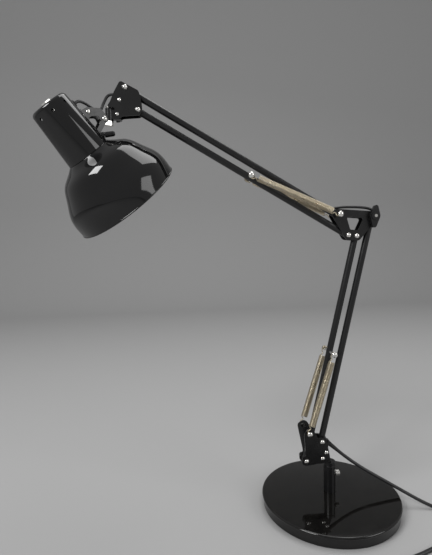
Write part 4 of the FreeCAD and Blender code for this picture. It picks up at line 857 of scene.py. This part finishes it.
def make_tie():
    angle = math.radians(-75.0)
    out = Vector((math.cos(angle), math.sin(angle), 0))
    across = Z_AXIS.cross(out)
    inner = COIL_INNER_RADIUS - 4.6
    outer = COIL_INNER_RADIUS + COIL_PITCH * COIL_TURNS + 4.6
    top = COIL_FLOOR + COIL_PITCH + CORD_RADIUS + 0.3
    loop = corner_rounded([(inner - 0.4, 0.45, 3.4), (outer + 0.4, 0.45, 3.4), (outer + 0.4, top + 0.4, 3.4),
                           (inner - 0.4, top + 0.4, 3.4)], 6)
    centre = Vector(((inner + outer) / 2, top / 2))
    grid = bmesh.new()
    section = [(-0.4, -2.9), (0.0, -3.0), (0.4, -2.9), (0.22, -1.6), (0.34, 0.0), (0.22, 1.6), (0.4, 2.9), (0.0, 3.0),
               (-0.4, 2.9), (-0.3, 0.0)]
    rings = []
    count = len(loop)
    for i, place in enumerate(loop):
        here = Vector(place)
        way = (Vector(loop[(i + 1) % count]) - Vector(loop[i - 1])).normalized()
        normal = Vector((way.y, -way.x))
        if normal.dot(here - centre) < 0:
            normal = -normal
        ring = []
        for depth, width in section:
            spot = here + normal * depth
            ring.append(grid.verts.new((COIL_CENTRE + out * spot.x + Z_AXIS * spot.y + across * width) * MM))
        rings.append(ring)
    size = len(section)
    for i in range(count):
        a, b = rings[i], rings[(i + 1) % count]
        for k in range(size):
            j = (k + 1) % size
            grid.faces.new((a[k], a[j], b[j], b[k]))
    bmesh.ops.recalc_face_normals(grid, faces=grid.faces)
    mesh = bpy.data.meshes.new("tie_band")
    grid.to_mesh(mesh)
    grid.free()
    tie = finish_mesh("tie_band", mesh, 40.0)
    paint(tie, BLACK_RUBBER)
    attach(tie, "bracket")
    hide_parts("cord_tie")
    return tie


make_base()
make_springs()
make_shade()
make_neck()
make_bulb()
make_leads()
PLUG_BODY, PLUG_RELIEF = make_plug()
TIE = make_tie()

paint(mains_cord, FLEX)
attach(mains_cord, "bracket")
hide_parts("mains_cord", "cord_coil")

paint_nodes(CAST_WEIGHT, "base_weight")
paint_nodes(PAD_FELT, "base_pad")
paint_nodes(ARM_PAINT, "front_tube", "rear_tube", "lower_tube", "top_tube", "swivel_post", "socket_tube")
paint_nodes(PLATE_PAINT, "bracket_cheek_near", "bracket_cheek_far", "elbow_plate_near", "elbow_plate_far",
            "head_cheek_near", "head_cheek_far", "head_strap", "tilt_struts", "head_knuckle")
paint_nodes(PLATED, "thumb_screw", "foot_rivets", "elbow_rivets", "head_rivets", "lower_spring_studs",
            "strap_bolts", "swivel_pin", "socket_nut", "holder_fittings", "foot_spacers", "elbow_spacers",
            "head_spacers", "upper_spring_pin", "lower_spring_pin", "elbow_spring_pin")
paint_nodes(BLACK_PLASTIC, "wing_knob", "switch_knob", "switch_bush", "lamp_holder")
paint_nodes(BRASS, "bulb_cap", "plug_pins")
paint_nodes(BLACK_RUBBER, "grommet", "cord_grip")


# ------------------------------------------------------------------ floor, backdrop and light
def make_stage():
    data = bpy.data.meshes.new("floor")
    back = 3.2
    side = 4.0
    front = -3.0
    height = 3.4
    curve = 0.9
    profile = [(front, 0.0), (back - curve, 0.0)]
    profile += [(back - curve + curve * math.sin(t), curve - curve * math.cos(t))
                for t in (math.pi / 2 * k / 12 for k in range(1, 13))]
    profile += [(back, height)]
    verts = []
    for y, z in profile:
        verts += [(-side, y, z), (side, y, z)]
    faces = [(2 * k, 2 * k + 1, 2 * k + 3, 2 * k + 2) for k in range(len(profile) - 1)]
    data.from_pydata(verts, [], faces)
    for face in data.polygons:
        face.use_smooth = True
    floor = bpy.data.objects.new("floor", data)
    bpy.context.scene.collection.objects.link(floor)
    material, tree, shader = start_material("plain_pale_floor")
    shader.inputs["Base Color"].default_value = (0.42, 0.42, 0.42, 1)
    shader.inputs["Roughness"].default_value = 0.9
    paint(floor, material)


def area_light(name, place, target, size, power, size_y=None, colour=(1, 1, 1)):
    data = bpy.data.lights.new(name, "AREA")
    data.shape = "RECTANGLE"
    data.size = size
    data.size_y = size_y or size
    data.energy = power
    data.color = colour
    lamp = bpy.data.objects.new(name, data)
    lamp.location = place
    lamp.rotation_euler = (Vector(target) - Vector(place)).to_track_quat("-Z", "Y").to_euler()
    bpy.context.scene.collection.objects.link(lamp)


def make_lights():
    area_light("key_softbox", (-1.9, -1.3, 2.1), (0, 0, 0.35), 1.1, 42, 0.9)
    area_light("fill_softbox", (1.9, -1.5, 1.4), (0, 0, 0.35), 1.2, 16, 1.4)
    area_light("top_softbox", (0.3, 0.5, 2.5), (0, 0, 0.3), 1.4, 20)
    world = bpy.data.worlds.new("studio")
    bpy.context.scene.world = world
    world.use_nodes = True
    background = world.node_tree.nodes["Background"]
    background.inputs["Color"].default_value = (1, 1, 1, 1)
    background.inputs["Strength"].default_value = 0.35


make_stage()
make_lights()
bpy.context.scene.view_settings.view_transform = "Standard"
